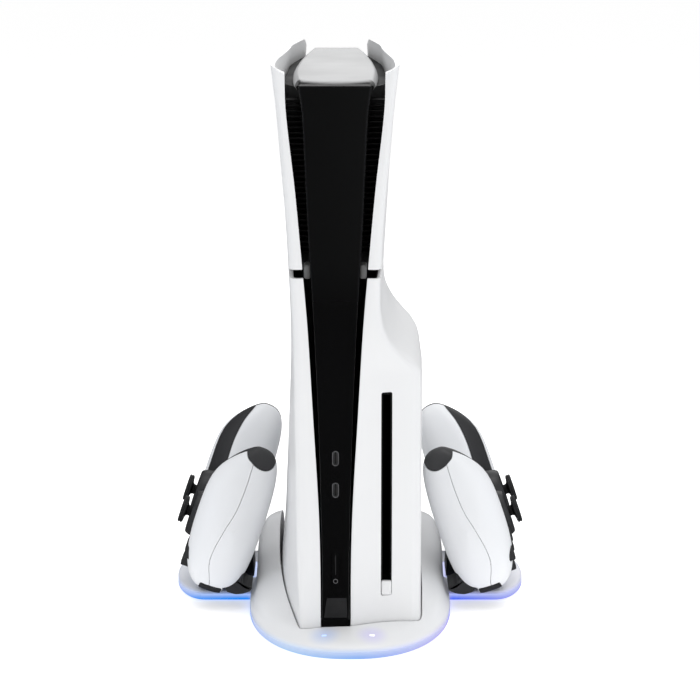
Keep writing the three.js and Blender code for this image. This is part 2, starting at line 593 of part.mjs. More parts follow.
const PAD_STATIONS = [0, 20, 31, 39, 47, 55, 62, 68, 73.5, 77.5, 80];
const CORE_STATIONS = [0, 20, 32, 44, 56, 66, 74, 80];
const RING_POINTS = 16;
const CORE_POINTS = 12;
const TIP_X = 59; // where a grip reaches farthest
const GRIP_DROP = 0.0025; // the grips curve down as the square of the distance behind the bend
const BEND_Y = -25;
const FACE_FALL = 0.0005; // the face thins towards the grips' tips behind its own bend
const FACE_BEND_Y = -36;
const REAR_SQUARENESS = 3.4; // of the corner between the back and the front edge

const squareness = (x) => lerp(3.2, 2.5, Math.min(1, Math.abs(x) / 50));
const faceShare = (y) => 1 - FACE_FALL * Math.min(0, y - FACE_BEND_Y) ** 2;
const drop = (y) => -GRIP_DROP * Math.min(0, y - BEND_Y) ** 2;

function padRing(x, inset, count) {
  const ax = Math.abs(x);
  const fore = curve(FORE_EDGE, ax) - inset;
  const slope = (curve(AFT_EDGE, ax + 1) - curve(AFT_EDGE, ax - 1)) / 2;
  const aft = curve(AFT_EDGE, ax) + inset * (ax < TIP_X ? Math.hypot(1, slope) : 1);
  const thick = curve(HALF_THICK, ax) - inset;
  const share = THREE.MathUtils.smoothstep(ax, TIP_X, 80);
  const placed = (x * (PAD_HALF_WIDTH - inset * share)) / 80;
  const ring = [];
  for (let i = 0; i < count; i += 1) {
    const a = ((i + 0.5) * 2 * Math.PI) / count;
    const [c, d] = [Math.cos(a), Math.sin(a)];
    const power = 2 / (c > 0 && d < 0 ? REAR_SQUARENESS : squareness(ax));
    const y = (fore + aft) / 2 + ((fore - aft) / 2) * Math.sign(c) * Math.abs(c) ** power;
    const rise = thick * Math.sign(d) * Math.abs(d) ** power;
    const z = curve(MIDDLE_Z, ax) + (d > 0 ? rise * faceShare(y) : rise);
    ring.push(new THREE.Vector3(placed, y, z + drop(y)));
  }
  return ring;
}

function padHull(inset, half = PAD_STATIONS, count = RING_POINTS) {
  const stations = [...half.slice(1).reverse().map((x) => -x), ...half];
  return solid(loft(stations.map((x) => padRing(x, inset, count))));
}

// height of the controller's face above a point
function faceZ(x, y) {
  const ax = Math.abs(x);
  const fore = curve(FORE_EDGE, ax);
  const aft = curve(AFT_EDGE, ax);
  const n = squareness(ax);
  const u = Math.abs(y - (fore + aft) / 2) / ((fore - aft) / 2);
  const rise = curve(HALF_THICK, ax) * Math.max(0, 1 - u ** n) ** (1 / n);
  return curve(MIDDLE_Z, ax) + rise * faceShare(y) + drop(y);
}

const SEAM_STEPS = 10;
function aboveLine(table, shift) {
  const line = span(-80, 60, SEAM_STEPS).map((y) => [y, curve(table, y) + shift]);
  return solid(bar([...line, [60, 60], [-80, 60]], -90, 90));
}

const TRIM_HALF = [[0, 12.6], [12, 13], [19, 14.8], [26.5, 15.8], [34, 13.6], [41, 7.5], [44.5, -3],
  [46.5, -16], [51.5, -30], [57, -44], [60.5, -54], [64, -66]];
function trimOutline() {
  const right = TRIM_HALF.slice().reverse();
  const left = TRIM_HALF.slice(1).map(([x, y]) => [-x, y]);
  return [[38, -74], ...right, ...left, [-38, -74], [-28, -42], [28, -42]];
}
const TIP_CAP = [[-76, -36], [-60.5, -33.6], [-56.2, -32], [-54.4, -28], [-55, -23], [-57, -18.6],
  [-61, -14], [-76, -10]];

const PAD_HOLE = 0.4; // play around buttons
const BUTTON_RISE = 1.5;
const BUTTON_LENGTH = 7;
const SMALL_RISE = 1.1;
const SMALL_SIZE = [1.5, 3.8]; // half-width and half-length
const SMALL_LENGTH = 5;
const HOME_RADIUS = 3.6;
const HOME_RISE = 0.8;
const HOME_LENGTH = 4.5;
const TOUCH_RISE = 0.6;
const BUMPER_RISE = 0.7;
const COLLAR_RADII = [16.5, 13]; // at its foot and its rim
const COLLAR_FOOT = -3;
const TOUCH_OUTLINE = [[-20, 17], [20, 17], [28, 35.5], [25, 37.8], [-25, 37.8], [-28, 35.5]];
const SMALL_BUTTONS = { create: -36.5, options: 36.5 };
const SMALL_BUTTON_Y = 30;
const DPAD_ARM = [3.9, 11.6];
const HOME_Y = -2.5;
const BUMPER = [37, 66, 33, -27, -12.4]; // x from, x to, y from, z from, z to
const TRIGGER_X = [39, 66];
const TRIGGER_PLAY = 0.5;
const TRIGGER_PROFILE = [[22, -29.5], [32, -29.5], [34, -31], [33.8, -37], [31.6, -42], [28, -46], [25, -46],
  [26, -42.5], [25.2, -39.5], [21.5, -37.5]];

function pill(x, y, halfWide, halfLong, z0, z1) {
  const outline = [];
  const STEPS = 4;
  for (const [dy, start] of [[halfLong - halfWide, 0], [halfWide - halfLong, Math.PI]]) {
    for (let i = 0; i <= STEPS; i += 1) {
      const a = start + (i * Math.PI) / STEPS;
      outline.push([x + halfWide * Math.cos(a), y + dy + halfWide * Math.sin(a)]);
    }
  }
  return prism(outline, z0, z1);
}

function crossShape(x, y, grow, z0, z1) {
  const [half, arm] = DPAD_ARM.map((v) => v + grow);
  const upright = solid(box(x - half, x + half, y - arm, y + arm, z0, z1));
  return upright.add(solid(box(x - arm, x + arm, y - half, y + half, z0, z1)));
}

function mirroredX(geometry) {
  geometry.scale(-1, 1, 1);
  const index = geometry.index ?? null;
  if (index) {
    geometry.setIndex([...index.array].reverse());
    return geometry;
  }
  const position = geometry.attributes.position.array.slice();
  for (let i = 0; i < position.length; i += 9) {
    for (let k = 0; k < 3; k += 1) {
      [position[i + k], position[i + 3 + k]] = [position[i + 3 + k], position[i + k]];
    }
  }
  geometry.setAttribute('position', new THREE.BufferAttribute(position, 3));
  return geometry;
}

const faceButtonSpots = [['top', 0, 1], ['right', 1, 0], ['bottom', 0, -1], ['left', -1, 0]];
const buttonTop = (x, y) => faceZ(x, y) + BUTTON_RISE;

function triggerSpace() {
  const outline = [[12, -70], [60, -70], [60, -27.5], [20, -27.5]];
  return bar(outline, TRIGGER_X[0] - TRIGGER_PLAY, TRIGGER_X[1] + TRIGGER_PLAY);
}

function controllerShapes() {
  const outer = padHull(0);
  const wall = outer.subtract(padHull(PAD_WALL, CORE_STATIONS, CORE_POINTS));
  const trimColumn = (grow) => solid(prism(grown(trimOutline(), grow), -60, 60));
  const tip = (grow) => {
    const caps = [[-90, grow - TIP_X], [TIP_X - grow, 90]];
    const [left, right] = caps.map(([x0, x1]) => solid(bar(grown(TIP_CAP, grow), x0, x1)));
    return left.add(right);
  };
  const shapes = {};
  const cuts = [solid(prism(grown(TOUCH_OUTLINE, PAD_HOLE), -12, 20))];
  const [cx, cy] = CLUSTER;
  cuts.push(crossShape(-cx, cy, PAD_HOLE, -14, 20));
  const touchSheet = padHull(-TOUCH_RISE).subtract(padHull(1.6, CORE_STATIONS, CORE_POINTS));
  shapes.touchpad = touchSheet.intersect(solid(prism(TOUCH_OUTLINE, -12, 20)));
  const dpadTop = buttonTop(-cx, cy);
  shapes.dpad = crossShape(-cx, cy, 0, dpadTop - BUTTON_LENGTH, dpadTop);
  for (const [name, dx, dy] of faceButtonSpots) {
    const x = cx + dx * CLUSTER_RADIUS;
    const y = cy + dy * CLUSTER_RADIUS;
    const top = buttonTop(x, y);
    cuts.push(solid(drum(x, y, top - 2 * BUTTON_LENGTH, 20, FACE_BUTTON_RADIUS + PAD_HOLE, undefined, 14)));
    const button = drum(x, y, top - BUTTON_LENGTH, top, FACE_BUTTON_RADIUS, FACE_BUTTON_RADIUS * 0.94, 14);
    shapes[`${name}_button`] = button;
  }
  for (const [name, x] of Object.entries(SMALL_BUTTONS)) {
    const top = faceZ(x, SMALL_BUTTON_Y) + SMALL_RISE;
    const [wide, long] = SMALL_SIZE;
    const hole = pill(x, SMALL_BUTTON_Y, wide + PAD_HOLE, long + PAD_HOLE, top - 2 * SMALL_LENGTH, 20);
    cuts.push(solid(hole));
    shapes[`${name}_button`] = pill(x, SMALL_BUTTON_Y, wide, long, top - SMALL_LENGTH, top);
  }
  const homeTop = faceZ(0, HOME_Y) + HOME_RISE;
  shapes.home_button = drum(0, HOME_Y, homeTop - HOME_LENGTH, homeTop, HOME_RADIUS, HOME_RADIUS - 0.2, 12);

  // one-piece trim: plate with a raised collar round each stick, bands down the grips, caps on their tips
  const plate = trimColumn(0).intersect(aboveLine(TRIM_EDGE, 0)).add(tip(0));
  let trim = wall.intersect(plate);
  for (const side of [-1, 1]) {
    const x = (side * STICK_SPACING) / 2;
    const collar = solid(drum(x, 0, COLLAR_FOOT, COLLAR_TOP, ...COLLAR_RADII, 18)).intersect(trimColumn(0));
    trim = trim.add(collar);
  }
  for (const side of [-1, 1]) {
    const x = (side * STICK_SPACING) / 2;
    trim = trim.subtract(solid(drum(x, 0, -12, 20, STICK_HOLE, undefined, 16)));
  }
  trim = trim.subtract(solid(drum(0, HOME_Y, -12, 20, HOME_RADIUS + PAD_HOLE, undefined, 12)));
  shapes.centre_trim = trim;

  const bumperSpace = (grow) => [-1, 1].map((side) => {
    const [x0, x1, y0, z0, z1] = BUMPER;
    const [a, b] = side > 0 ? [x0, x1] : [-x1, -x0];
    return solid(box(a - grow, b + grow, y0 - grow * 4, 60, z0 - grow, z1 + grow));
  });
  const triggerSpaces = [triggerSpace(), mirroredX(triggerSpace())].map(solid);

  let front = wall.intersect(aboveLine(SEAM, GAP / 2)).subtract(trimColumn(GAP)).subtract(tip(GAP));
  for (const cut of cuts) front = front.subtract(cut);
  let back = wall.subtract(aboveLine(SEAM, -GAP / 2));
  const underTrim = wall.intersect(trimColumn(-GAP)).subtract(aboveLine(TRIM_EDGE, -GAP));
  back = back.add(underTrim).subtract(tip(GAP));
  for (const cut of [...bumperSpace(GAP), ...triggerSpaces]) {
    front = front.subtract(cut);
    back = back.subtract(cut);
  }
  const PORT_HALF = 4.5;
  const PORT_HEIGHTS = [-18.4, -13.3];
  const port = box(-PORT_HALF, PORT_HALF, 36, 60, ...PORT_HEIGHTS);
  front = front.subtract(solid(port));
  back = back.subtract(solid(port));
  shapes.front_shell = front;
  shapes.back_shell = back;

  bumperSpace(0).forEach((space, i) => {
    const name = i ? 'right_bumper' : 'left_bumper';
    shapes[name] = padHull(-BUMPER_RISE).subtract(padHull(2.6, CORE_STATIONS, CORE_POINTS)).intersect(space);
  });
  const trigger = () => bar(TRIGGER_PROFILE.slice().reverse(), TRIGGER_X[0], TRIGGER_X[1]);
  shapes.right_trigger = trigger();
  shapes.left_trigger = mirroredX(trigger());

  for (const [name, side] of [['left', -1], ['right', 1]]) {
    const x = (side * STICK_SPACING) / 2;
    const profile = [[0, STICK_PIVOT - 5], [3, STICK_PIVOT - 4.4], [5, STICK_PIVOT - 1.4],
      [5, STICK_PIVOT + 1.4], [3.4, STICK_PIVOT + 4.6], [3.4, STICK_TOP - 4.5],
      [STICK_RADIUS - 1, STICK_TOP - 3], [STICK_RADIUS, STICK_TOP - 2],
      [STICK_RADIUS, STICK_TOP - 0.9], [STICK_RADIUS - 0.9, STICK_TOP],
      [STICK_RADIUS - 2.4, STICK_TOP - 0.5], [0, STICK_TOP - 1.4]];
    const stick = new THREE.LatheGeometry(profile.map(([r, z]) => new THREE.Vector2(r, z)), 14);
    shapes[`${name}_stick`] = stick.rotateX(Math.PI / 2).translate(x, 0, 0);
    const ring = [[6.2, -1.2], [8.4, -1.2], [8.4, 1.2], [6.2, 1.2], [6.2, -1.2]];
    const gimbal = new THREE.LatheGeometry(ring.map(([r, z]) => new THREE.Vector2(r, z)), 14);
    shapes[`${name}_stick_gimbal`] = gimbal.rotateX(Math.PI / 2).translate(x, 0, STICK_PIVOT);
  }
  return shapes;
}

const PAD_COLOURS = { front_shell: PAD_WHITE, back_shell: PAD_WHITE, touchpad: PAD_WHITE };

// turned so that the face looks outwards, the grips point up and the triggers down
function padGroup(side) {
  const lean = THREE.MathUtils.degToRad(PAD_LEAN);
  const down = new THREE.Vector3(side * Math.sin(lean), 0, -Math.cos(lean));
  const out = new THREE.Vector3(side * Math.cos(lean), 0, Math.sin(lean));
  const across = new THREE.Vector3().crossVectors(down, out);
  const caps = new THREE.Vector3(side * PAD_STICK_X, PAD_Y, PAD_STICK_Z);
  const group = new THREE.Group();
  const matrix = new THREE.Matrix4().makeBasis(across, down, out);
  matrix.setPosition(caps.addScaledVector(out, -STICK_TOP));
  matrix.decompose(group.position, group.quaternion, group.scale);
  return group;
}

// cradle that a controller stands in: ledge under its front edge and a rest behind its back
const DOCK_HALF_WIDTH = 16;
const DOCK_PLAY = 0.4;
const DOCK_PROFILE = [[65.6, 0.2], [104, 0.2], [105, 3.2], [96, 4.6], [82, 20.5], [79, 22],
  [66.5, 15]];

function dockShape(side) {
  const group = padGroup(side);
  group.updateMatrix();
  const held = surface(padHull(-DOCK_PLAY)).applyMatrix4(group.matrix);
  const outline = DOCK_PROFILE.map(([x, z]) => [side * x, WING_TOP + z]);
  const turned = side > 0 ? outline : outline.reverse();
  const block = prism(turned, PAD_Y - DOCK_HALF_WIDTH, PAD_Y + DOCK_HALF_WIDTH);
  block.applyMatrix4(new THREE.Matrix4().set(1, 0, 0, 0, 0, 0, -1, 2 * PAD_Y, 0, 1, 0, 0, 0, 0, 0, 1));
  return solid(block).subtract(solid(held));
}

const shapes = controllerShapes();
addConsole();
addStand();
addMesh(part, 'left_dock', dockShape(-1), MATTE_BLACK);
addMesh(part, 'right_dock', dockShape(1), MATTE_BLACK);
for (const [prefix, side] of [['left_pad', -1], ['right_pad', 1]]) {
  const group = padGroup(side);
  for (const [name, shape] of Object.entries(shapes)) {
    const copy = shape.isBufferGeometry ? shape.clone() : shape;
    addMesh(group, `${prefix}_${name}`, copy, PAD_COLOURS[name] ?? PAD_BLACK);
  }
  part.add(group);
}

export default part;
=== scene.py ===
import bpy, bmesh, math
from mathutils import Matrix, Vector


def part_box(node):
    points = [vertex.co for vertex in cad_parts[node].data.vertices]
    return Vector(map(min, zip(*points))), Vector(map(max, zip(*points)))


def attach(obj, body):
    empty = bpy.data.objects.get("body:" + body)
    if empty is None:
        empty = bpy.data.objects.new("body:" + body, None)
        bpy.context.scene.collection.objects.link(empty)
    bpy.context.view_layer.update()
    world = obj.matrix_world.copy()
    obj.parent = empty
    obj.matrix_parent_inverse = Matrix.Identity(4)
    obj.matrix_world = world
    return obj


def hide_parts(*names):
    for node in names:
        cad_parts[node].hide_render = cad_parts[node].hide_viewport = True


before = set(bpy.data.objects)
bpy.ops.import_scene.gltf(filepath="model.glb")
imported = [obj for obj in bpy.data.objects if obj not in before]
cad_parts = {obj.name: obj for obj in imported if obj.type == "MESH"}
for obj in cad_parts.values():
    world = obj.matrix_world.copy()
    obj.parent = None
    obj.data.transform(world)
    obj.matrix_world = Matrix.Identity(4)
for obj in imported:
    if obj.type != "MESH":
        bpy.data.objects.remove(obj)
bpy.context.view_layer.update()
scene = bpy.context.scene
scene.view_settings.view_transform = "Standard"

# Shapes are worked out in millimetres and turned into metres where each piece is made.
MM = 0.001

# ---------------------------------------------------------------- places read from the frame
def corners(node):
    low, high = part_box(node)
    return Vector(low) / MM, Vector(high) / MM

FACE_LOW, FACE_HIGH = corners("front_fascia")
CHASSIS_LOW, CHASSIS_HIGH = corners("console_chassis")
CAP_LOW, CAP_HIGH = corners("top_cap")
_, LEFT_HIGH = corners("lower_left_cover")
UPPER_LOW, UPPER_HIGH = corners("upper_left_cover")
_, DRIVE_HIGH = corners("drive_cover")
SHELL_LOW, SHELL_HIGH = corners("stand_shell")
STRIP_LOW, STRIP_HIGH = corners("light_strip")
BASE_LOW, BASE_HIGH = corners("stand_base")
EJECT_LOW, EJECT_HIGH = corners("eject_button")
POWER_LOW, POWER_HIGH = corners("power_button")

CONSOLE_X = (FACE_LOW.x + FACE_HIGH.x) / 2
FASCIA_INSET = 0.4
CONSOLE_FRONT = FACE_LOW.y - FASCIA_INSET
CONSOLE_FLOOR = CHASSIS_LOW.z
CONSOLE_DEPTH = LEFT_HIGH.y - CONSOLE_FRONT
CONSOLE_HEIGHT = UPPER_HIGH.z - CONSOLE_FLOOR
CONSOLE_WIDTH = 80
COVER_WALL = 2.6
BULGE_REACH = DRIVE_HIGH.x - CONSOLE_X

# ---------------------------------------------------------------- camera and light
CAMERA_AWAY = 1500  # in front of the console's front plane
CAMERA_HEIGHT = 530
CAMERA_TILT = math.radians(12.62)
SENSOR = 36
LENS = 127.8
LIGHT_TARGET = Vector((0, 0, 0.17))

def add_camera():
    data = bpy.data.cameras.new("camera")
    data.sensor_width = SENSOR
    data.lens = LENS
    camera = bpy.data.objects.new("camera", data)
    camera.location = (0, (CONSOLE_FRONT - CAMERA_AWAY) * MM, CAMERA_HEIGHT * MM)
    camera.rotation_euler = (math.pi / 2 - CAMERA_TILT, 0, 0)
    scene.collection.objects.link(camera)
    scene.camera = camera

def add_softbox(name, place, size, watts, colour=(1, 1, 1)):
    data = bpy.data.lights.new(name, "AREA")
    data.shape = "RECTANGLE"
    data.size, data.size_y = size
    data.energy = watts
    data.color = colour
    light = bpy.data.objects.new(name, data)
    light.location = place
    light.rotation_euler = (Vector(place) - LIGHT_TARGET).to_track_quat("Z", "Y").to_euler()
    scene.collection.objects.link(light)

# brightness of the surroundings as the camera sees them, as they light the object, and as polish mirrors it
WHITE = (1, 1, 1, 1)
WORLD_SEEN = 1.0
WORLD_LIGHT = 0.56
WORLD_MIRRORED = 0.03

def add_node(tree, kind, inputs, **settings):
    """A shader node with its settings, and with its inputs given as values or as sockets to link from."""
    node = tree.nodes.new("ShaderNode" + kind)
    for label, value in settings.items():
        setattr(node, label, value)
    return feed(tree, node, inputs)

def feed(tree, node, inputs):
    for label, value in inputs.items():
        if isinstance(value, bpy.types.NodeSocket):
            tree.links.new(value, node.inputs[label])
        else:
            node.inputs[label].default_value = value
    return node

def add_world():
    world = bpy.data.worlds.new("studio")
    scene.world = world
    world.use_nodes = True
    tree = world.node_tree
    path = add_node(tree, "LightPath", {})
    seen = add_node(tree, "Mix", {0: path.outputs["Is Camera Ray"], 2: WORLD_LIGHT, 3: WORLD_SEEN})
    strength = add_node(tree, "Mix", {0: path.outputs["Is Glossy Ray"], 2: seen.outputs[0], 3: WORLD_MIRRORED})
    feed(tree, tree.nodes["Background"], {"Color": WHITE, "Strength": strength.outputs[0]})

add_camera()
add_world()
add_softbox("key_right", (1.0, -1.2, 0.8), (0.8, 1.0), 4)
add_softbox("fill_left", (-1.2, -0.9, 0.7), (0.5, 0.8), 1.2)
add_softbox("top", (0, 0.0, 1.3), (0.8, 0.8), 8.5)
add_softbox("edge_left", (-1.3, -0.5, 0.35), (0.06, 0.9), 1, (0.5, 0.68, 1))
add_softbox("edge_right", (1.3, -0.5, 0.35), (0.06, 0.9), 1, (0.6, 0.75, 1))
add_softbox("back", (0.3, 1.3, 0.8), (1.0, 0.8), 4)

# ---------------------------------------------------------------- node groups and materials
FLOAT, COLOUR = "NodeSocketFloat", "NodeSocketColor"

def new_group(name, inputs, outputs):
    group = bpy.data.node_groups.new(name, "ShaderNodeTree")
    for label, kind, value in inputs:
        socket = group.interface.new_socket(label, in_out="INPUT", socket_type=kind)
        socket.default_value = value
    for label, kind in outputs:
        group.interface.new_socket(label, in_out="OUTPUT", socket_type=kind)
    return group, group.nodes.new("NodeGroupInput").outputs, group.nodes.new("NodeGroupOutput")

def object_place(tree):
    return add_node(tree, "TexCoord", {}).outputs["Object"]

def split_place(tree):
    return add_node(tree, "SeparateXYZ", {0: object_place(tree)}).outputs

def mix_colours(tree, share, a, b):
    return add_node(tree, "Mix", {0: share, 6: a, 7: b}, data_type="RGBA").outputs[2]

def maths(tree, operation, *values):
    return add_node(tree, "Math", dict(enumerate(values)), operation=operation).outputs[0]

def climb(tree, value, start, end, top=1, kind="SMOOTHSTEP"):
    """Rises from 0 to top as the value goes from start to end."""
    inputs = {"Value": value, "From Min": start, "From Max": end, "To Max": top}
    return add_node(tree, "MapRange", inputs, interpolation_type=kind).outputs["Result"]

def grain_group():
    """Fine moulded texture: a height from small cells and finer noise."""
    group, given, result = new_group("moulded_grain", [("Cell Scale", FLOAT, 900), ("Noise Scale", FLOAT, 2500),
        ("Cell Share", FLOAT, 0.5)], [("Height", FLOAT)])
    place = object_place(group)
    cells = add_node(group, "TexVoronoi", {"Vector": place, "Scale": given["Cell Scale"]}, feature="SMOOTH_F1")
    noise = add_node(group, "TexNoise", {"Vector": place, "Scale": given["Noise Scale"]})
    blend = add_node(group, "Mix", {0: given["Cell Share"], 2: noise.outputs["Fac"], 3: cells.outputs["Distance"]})
    feed(group, result, {"Height": blend.outputs[0]})
    return group

def tone_group():
    """Slow drift between two close tones of one colour."""
    group, given, result = new_group("tone_drift", [("Tone A", COLOUR, WHITE), ("Tone B", COLOUR, WHITE),
        ("Scale", FLOAT, 12)], [("Color", COLOUR), ("Mask", FLOAT)])
    drift = add_node(group, "TexNoise", {"Vector": object_place(group), "Scale": given["Scale"], "Detail": 3})
    share = drift.outputs["Fac"]
    feed(group, result, {"Color": mix_colours(group, share, given["Tone A"], given["Tone B"]), "Mask": share})
    return group

def polish_group():
    """Roughness that wanders between two values, as handling leaves it."""
    group, given, result = new_group("handled_polish", [("Low", FLOAT, 0.4), ("High", FLOAT, 0.5),
        ("Scale", FLOAT, 30)], [("Roughness", FLOAT)])
    noise = add_node(group, "TexNoise", {"Vector": object_place(group), "Scale": given["Scale"], "Detail": 4})
    spread = add_node(group, "MapRange", {"Value": noise.outputs["Fac"], "From Min": 0.35, "From Max": 0.65,
        "To Min": given["Low"], "To Max": given["High"]})
    feed(group, result, {"Roughness": spread.outputs["Result"]})
    return group

GRAIN, TONE, POLISH = grain_group(), tone_group(), polish_group()
POLISH_SCALE = 26

def place_group(tree, group, **values):
    node = tree.nodes.new("ShaderNodeGroup")
    node.node_tree = group
    return feed(tree, node, {label.replace("_", " "): value for label, value in values.items()})

def opened(material):
    tree = material.node_tree
    return tree, tree.nodes["Principled BSDF"]

def source_of(shader, label):
    return shader.inputs[label].links[0].from_socket

def plastic(name, tone_a, tone_b, polish, grain=0.0, cells=900, depth=0.02, specular=0.5, tone_scale=12):
    """A moulded plastic with drifting tone, wandering polish and a fine grain."""
    material = bpy.data.materials.new(name)
    material.use_nodes = True
    tree, shader = opened(material)
    tone = place_group(tree, TONE, Tone_A=(*tone_a, 1), Tone_B=(*tone_b, 1), Scale=tone_scale)
    rough = place_group(tree, POLISH, Low=polish[0], High=polish[1], Scale=POLISH_SCALE)
    feed(tree, shader, {"Base Color": tone.outputs["Color"], "Roughness": rough.outputs["Roughness"],
        "Specular IOR Level": specular})
    if grain:
        height = place_group(tree, GRAIN, Cell_Scale=cells)
        bump = add_node(tree, "Bump", {"Strength": grain, "Distance": depth * MM, "Height": height.outputs[0]})
        feed(tree, shader, {"Normal": bump.outputs[0]})
    return material

def gloss_black():
    """Polished lower half that turns satin towards the top of the front face."""
    material = plastic("gloss_black", (0.0022, 0.0022, 0.0024), (0.0032, 0.0032, 0.0034), (0.06, 0.1),
        specular=0.35)
    tree, shader = opened(material)
    satin = climb(tree, split_place(tree)["Z"], 0.2, 0.25, 0.4)
    feed(tree, shader, {"Roughness": maths(tree, "ADD", source_of(shader, "Roughness"), satin)})
    return material

# colour of the rim's light against the place across the stand, in metres, for the wings and for the middle
WING_GLOW = ((-0.118, (0.5, 0.58, 0.95)), (-0.102, (0.1, 0.35, 1.0)), (-0.075, (0.0, 0.27, 1.0)),
    (0.07, (0.08, 0.16, 1.0)), (0.095, (0.25, 0.3, 0.95)), (0.118, (0.5, 0.5, 0.95)))
BASE_GLOW = ((-0.066, (0.5, 0.58, 0.95)), (-0.04, (0.52, 0.7, 0.95)), (0.005, (0.3, 0.5, 0.95)),
    (0.04, (0.52, 0.55, 0.95)), (0.066, (0.6, 0.5, 0.95)))
GLOW_REACH = 0.12
WING_START = (0.062, 0.069)

def ramp(tree, factor, stops):
    node = add_node(tree, "ValToRGB", {0: factor})
    elements = node.color_ramp.elements
    for i, (place, colour) in enumerate(stops):
        share = (place + GLOW_REACH) / (2 * GLOW_REACH)
        element = elements[i] if i < 2 else elements.new(share)
        element.position = share
        element.color = (*colour, 1)
    return node.outputs["Color"]

def glow_colour(tree):
    """Colour of the rim's light by the place on the stand, and the height there."""
    place = split_place(tree)
    across = climb(tree, place["X"], -GLOW_REACH, GLOW_REACH, kind="LINEAR")
    wing = climb(tree, maths(tree, "ABSOLUTE", place["X"]), *WING_START, kind="LINEAR")
    return mix_colours(tree, wing, ramp(tree, across, BASE_GLOW), ramp(tree, across, WING_GLOW)), place["Z"]

def light_diffuser():
    """Lit rim, strongest at its foot and paler at its top."""
    material = plastic("light_diffuser", (0.015, 0.03, 0.08), (0.02, 0.04, 0.1), (0.2, 0.3), specular=0.4)
    tree, shader = opened(material)
    colour, height = glow_colour(tree)
    pale = climb(tree, height, STRIP_LOW.z * MM, (STRIP_HIGH.z + 0.4) * MM, 0.55)
    lit = mix_colours(tree, pale, colour, (0.8, 0.86, 1, 1))
    feed(tree, shader, {"Emission Color": lit, "Emission Strength": 0.85})
    return material

def cap_grey():
    """Grey cap with painted shade on its front lip, darkening where it rolls down to the face, sooner towards its
    corners.
    """
    material = plastic("cap_grey", (0.36, 0.363, 0.367), (0.39, 0.392, 0.395), (0.36, 0.46), grain=0.3)
    tree, shader = opened(material)
    place = split_place(tree)
    aside = maths(tree, "SUBTRACT", place["X"], CONSOLE_X * MM)
    level = maths(tree, "MULTIPLY_ADD", maths(tree, "MULTIPLY", aside, aside), -CAP_LIP_SHADE_BOW, place["Z"])
    low = climb(tree, level, (CAP_HIGH.z - 0.35) * MM, (CAP_HIGH.z - 2.1) * MM)
    front = maths(tree, "LESS_THAN", place["Y"], (CONSOLE_FRONT + CAP_LIP_SHADE_DEPTH) * MM)
    dark = maths(tree, "MULTIPLY", low, front)
    # painted shade: the lip's front is mixed towards near black low down
    surface = mix_colours(tree, dark, source_of(shader, "Base Color"), (0.006, 0.006, 0.006, 1))
    feed(tree, shader, {"Base Color": surface})
    return material

# how the painted lip shade rises towards the cap's corners, and how far back from the front it reaches
CAP_LIP_SHADE_BOW = 2.2
CAP_LIP_SHADE_DEPTH = 14
LAMP_Y = CONSOLE_FRONT - 9
# lamp name, place across the console, and colour of the glow painted on the shell round its window
LAMPS = (("lamp_blue", -16.3, (0.3, 0.5, 1.0, 1)), ("lamp_white", 14.0, (0.52, 0.45, 1.0, 1)))
LAMP_Z = 13.8
# reach and strength of each lamp's glow painted on the shell
HALO_REACH = (0.013, 0.001)
HALO_SHARE = 0.38

def stand_white():
    """White shell with painted light: the rim's glow painted along its lowest edge, each lamp's glow painted round
    its window, and its white set lighter than the covers' to brighten it.
    """
    # painted light: this white is set a little lighter than the covers' cover_white to brighten the shell where it
    # falls in shade
    material = plastic("stand_white", (0.795, 0.8, 0.81), (0.83, 0.835, 0.84), (0.34, 0.44), grain=0.25)
    tree, shader = opened(material)
    colour, height = glow_colour(tree)
    # painted light: the rim's glow colour is mixed into the shell towards its lowest edge
    low = climb(tree, height, (STRIP_HIGH.z + 3.4) * MM, (STRIP_HIGH.z - 0.5) * MM, 0.6)
    surface = mix_colours(tree, low, source_of(shader, "Base Color"), colour)
    place = object_place(tree)
    # painted light: each lamp's glow is mixed into the shell round its window
    for _, x, colour in LAMPS:
        centre = (x * MM, LAMP_Y * MM, LAMP_Z * MM)
        away = add_node(tree, "VectorMath", {0: place, 1: centre}, operation="DISTANCE").outputs["Value"]
        surface = mix_colours(tree, climb(tree, away, *HALO_REACH, HALO_SHARE), surface, colour)
    feed(tree, shader, {"Base Color": surface})
    return material

def lamp_spot(name, colour, strength):
    material = plastic(name, colour, colour, (0.3, 0.4))
    feed(*opened(material), {"Emission Color": (*colour, 1), "Emission Strength": strength})
    return material

def port_metal():
    material = plastic("port_metal", (0.13, 0.13, 0.135), (0.17, 0.17, 0.175), (0.3, 0.4))
    feed(*opened(material), {"Metallic": 0.2})
    return material

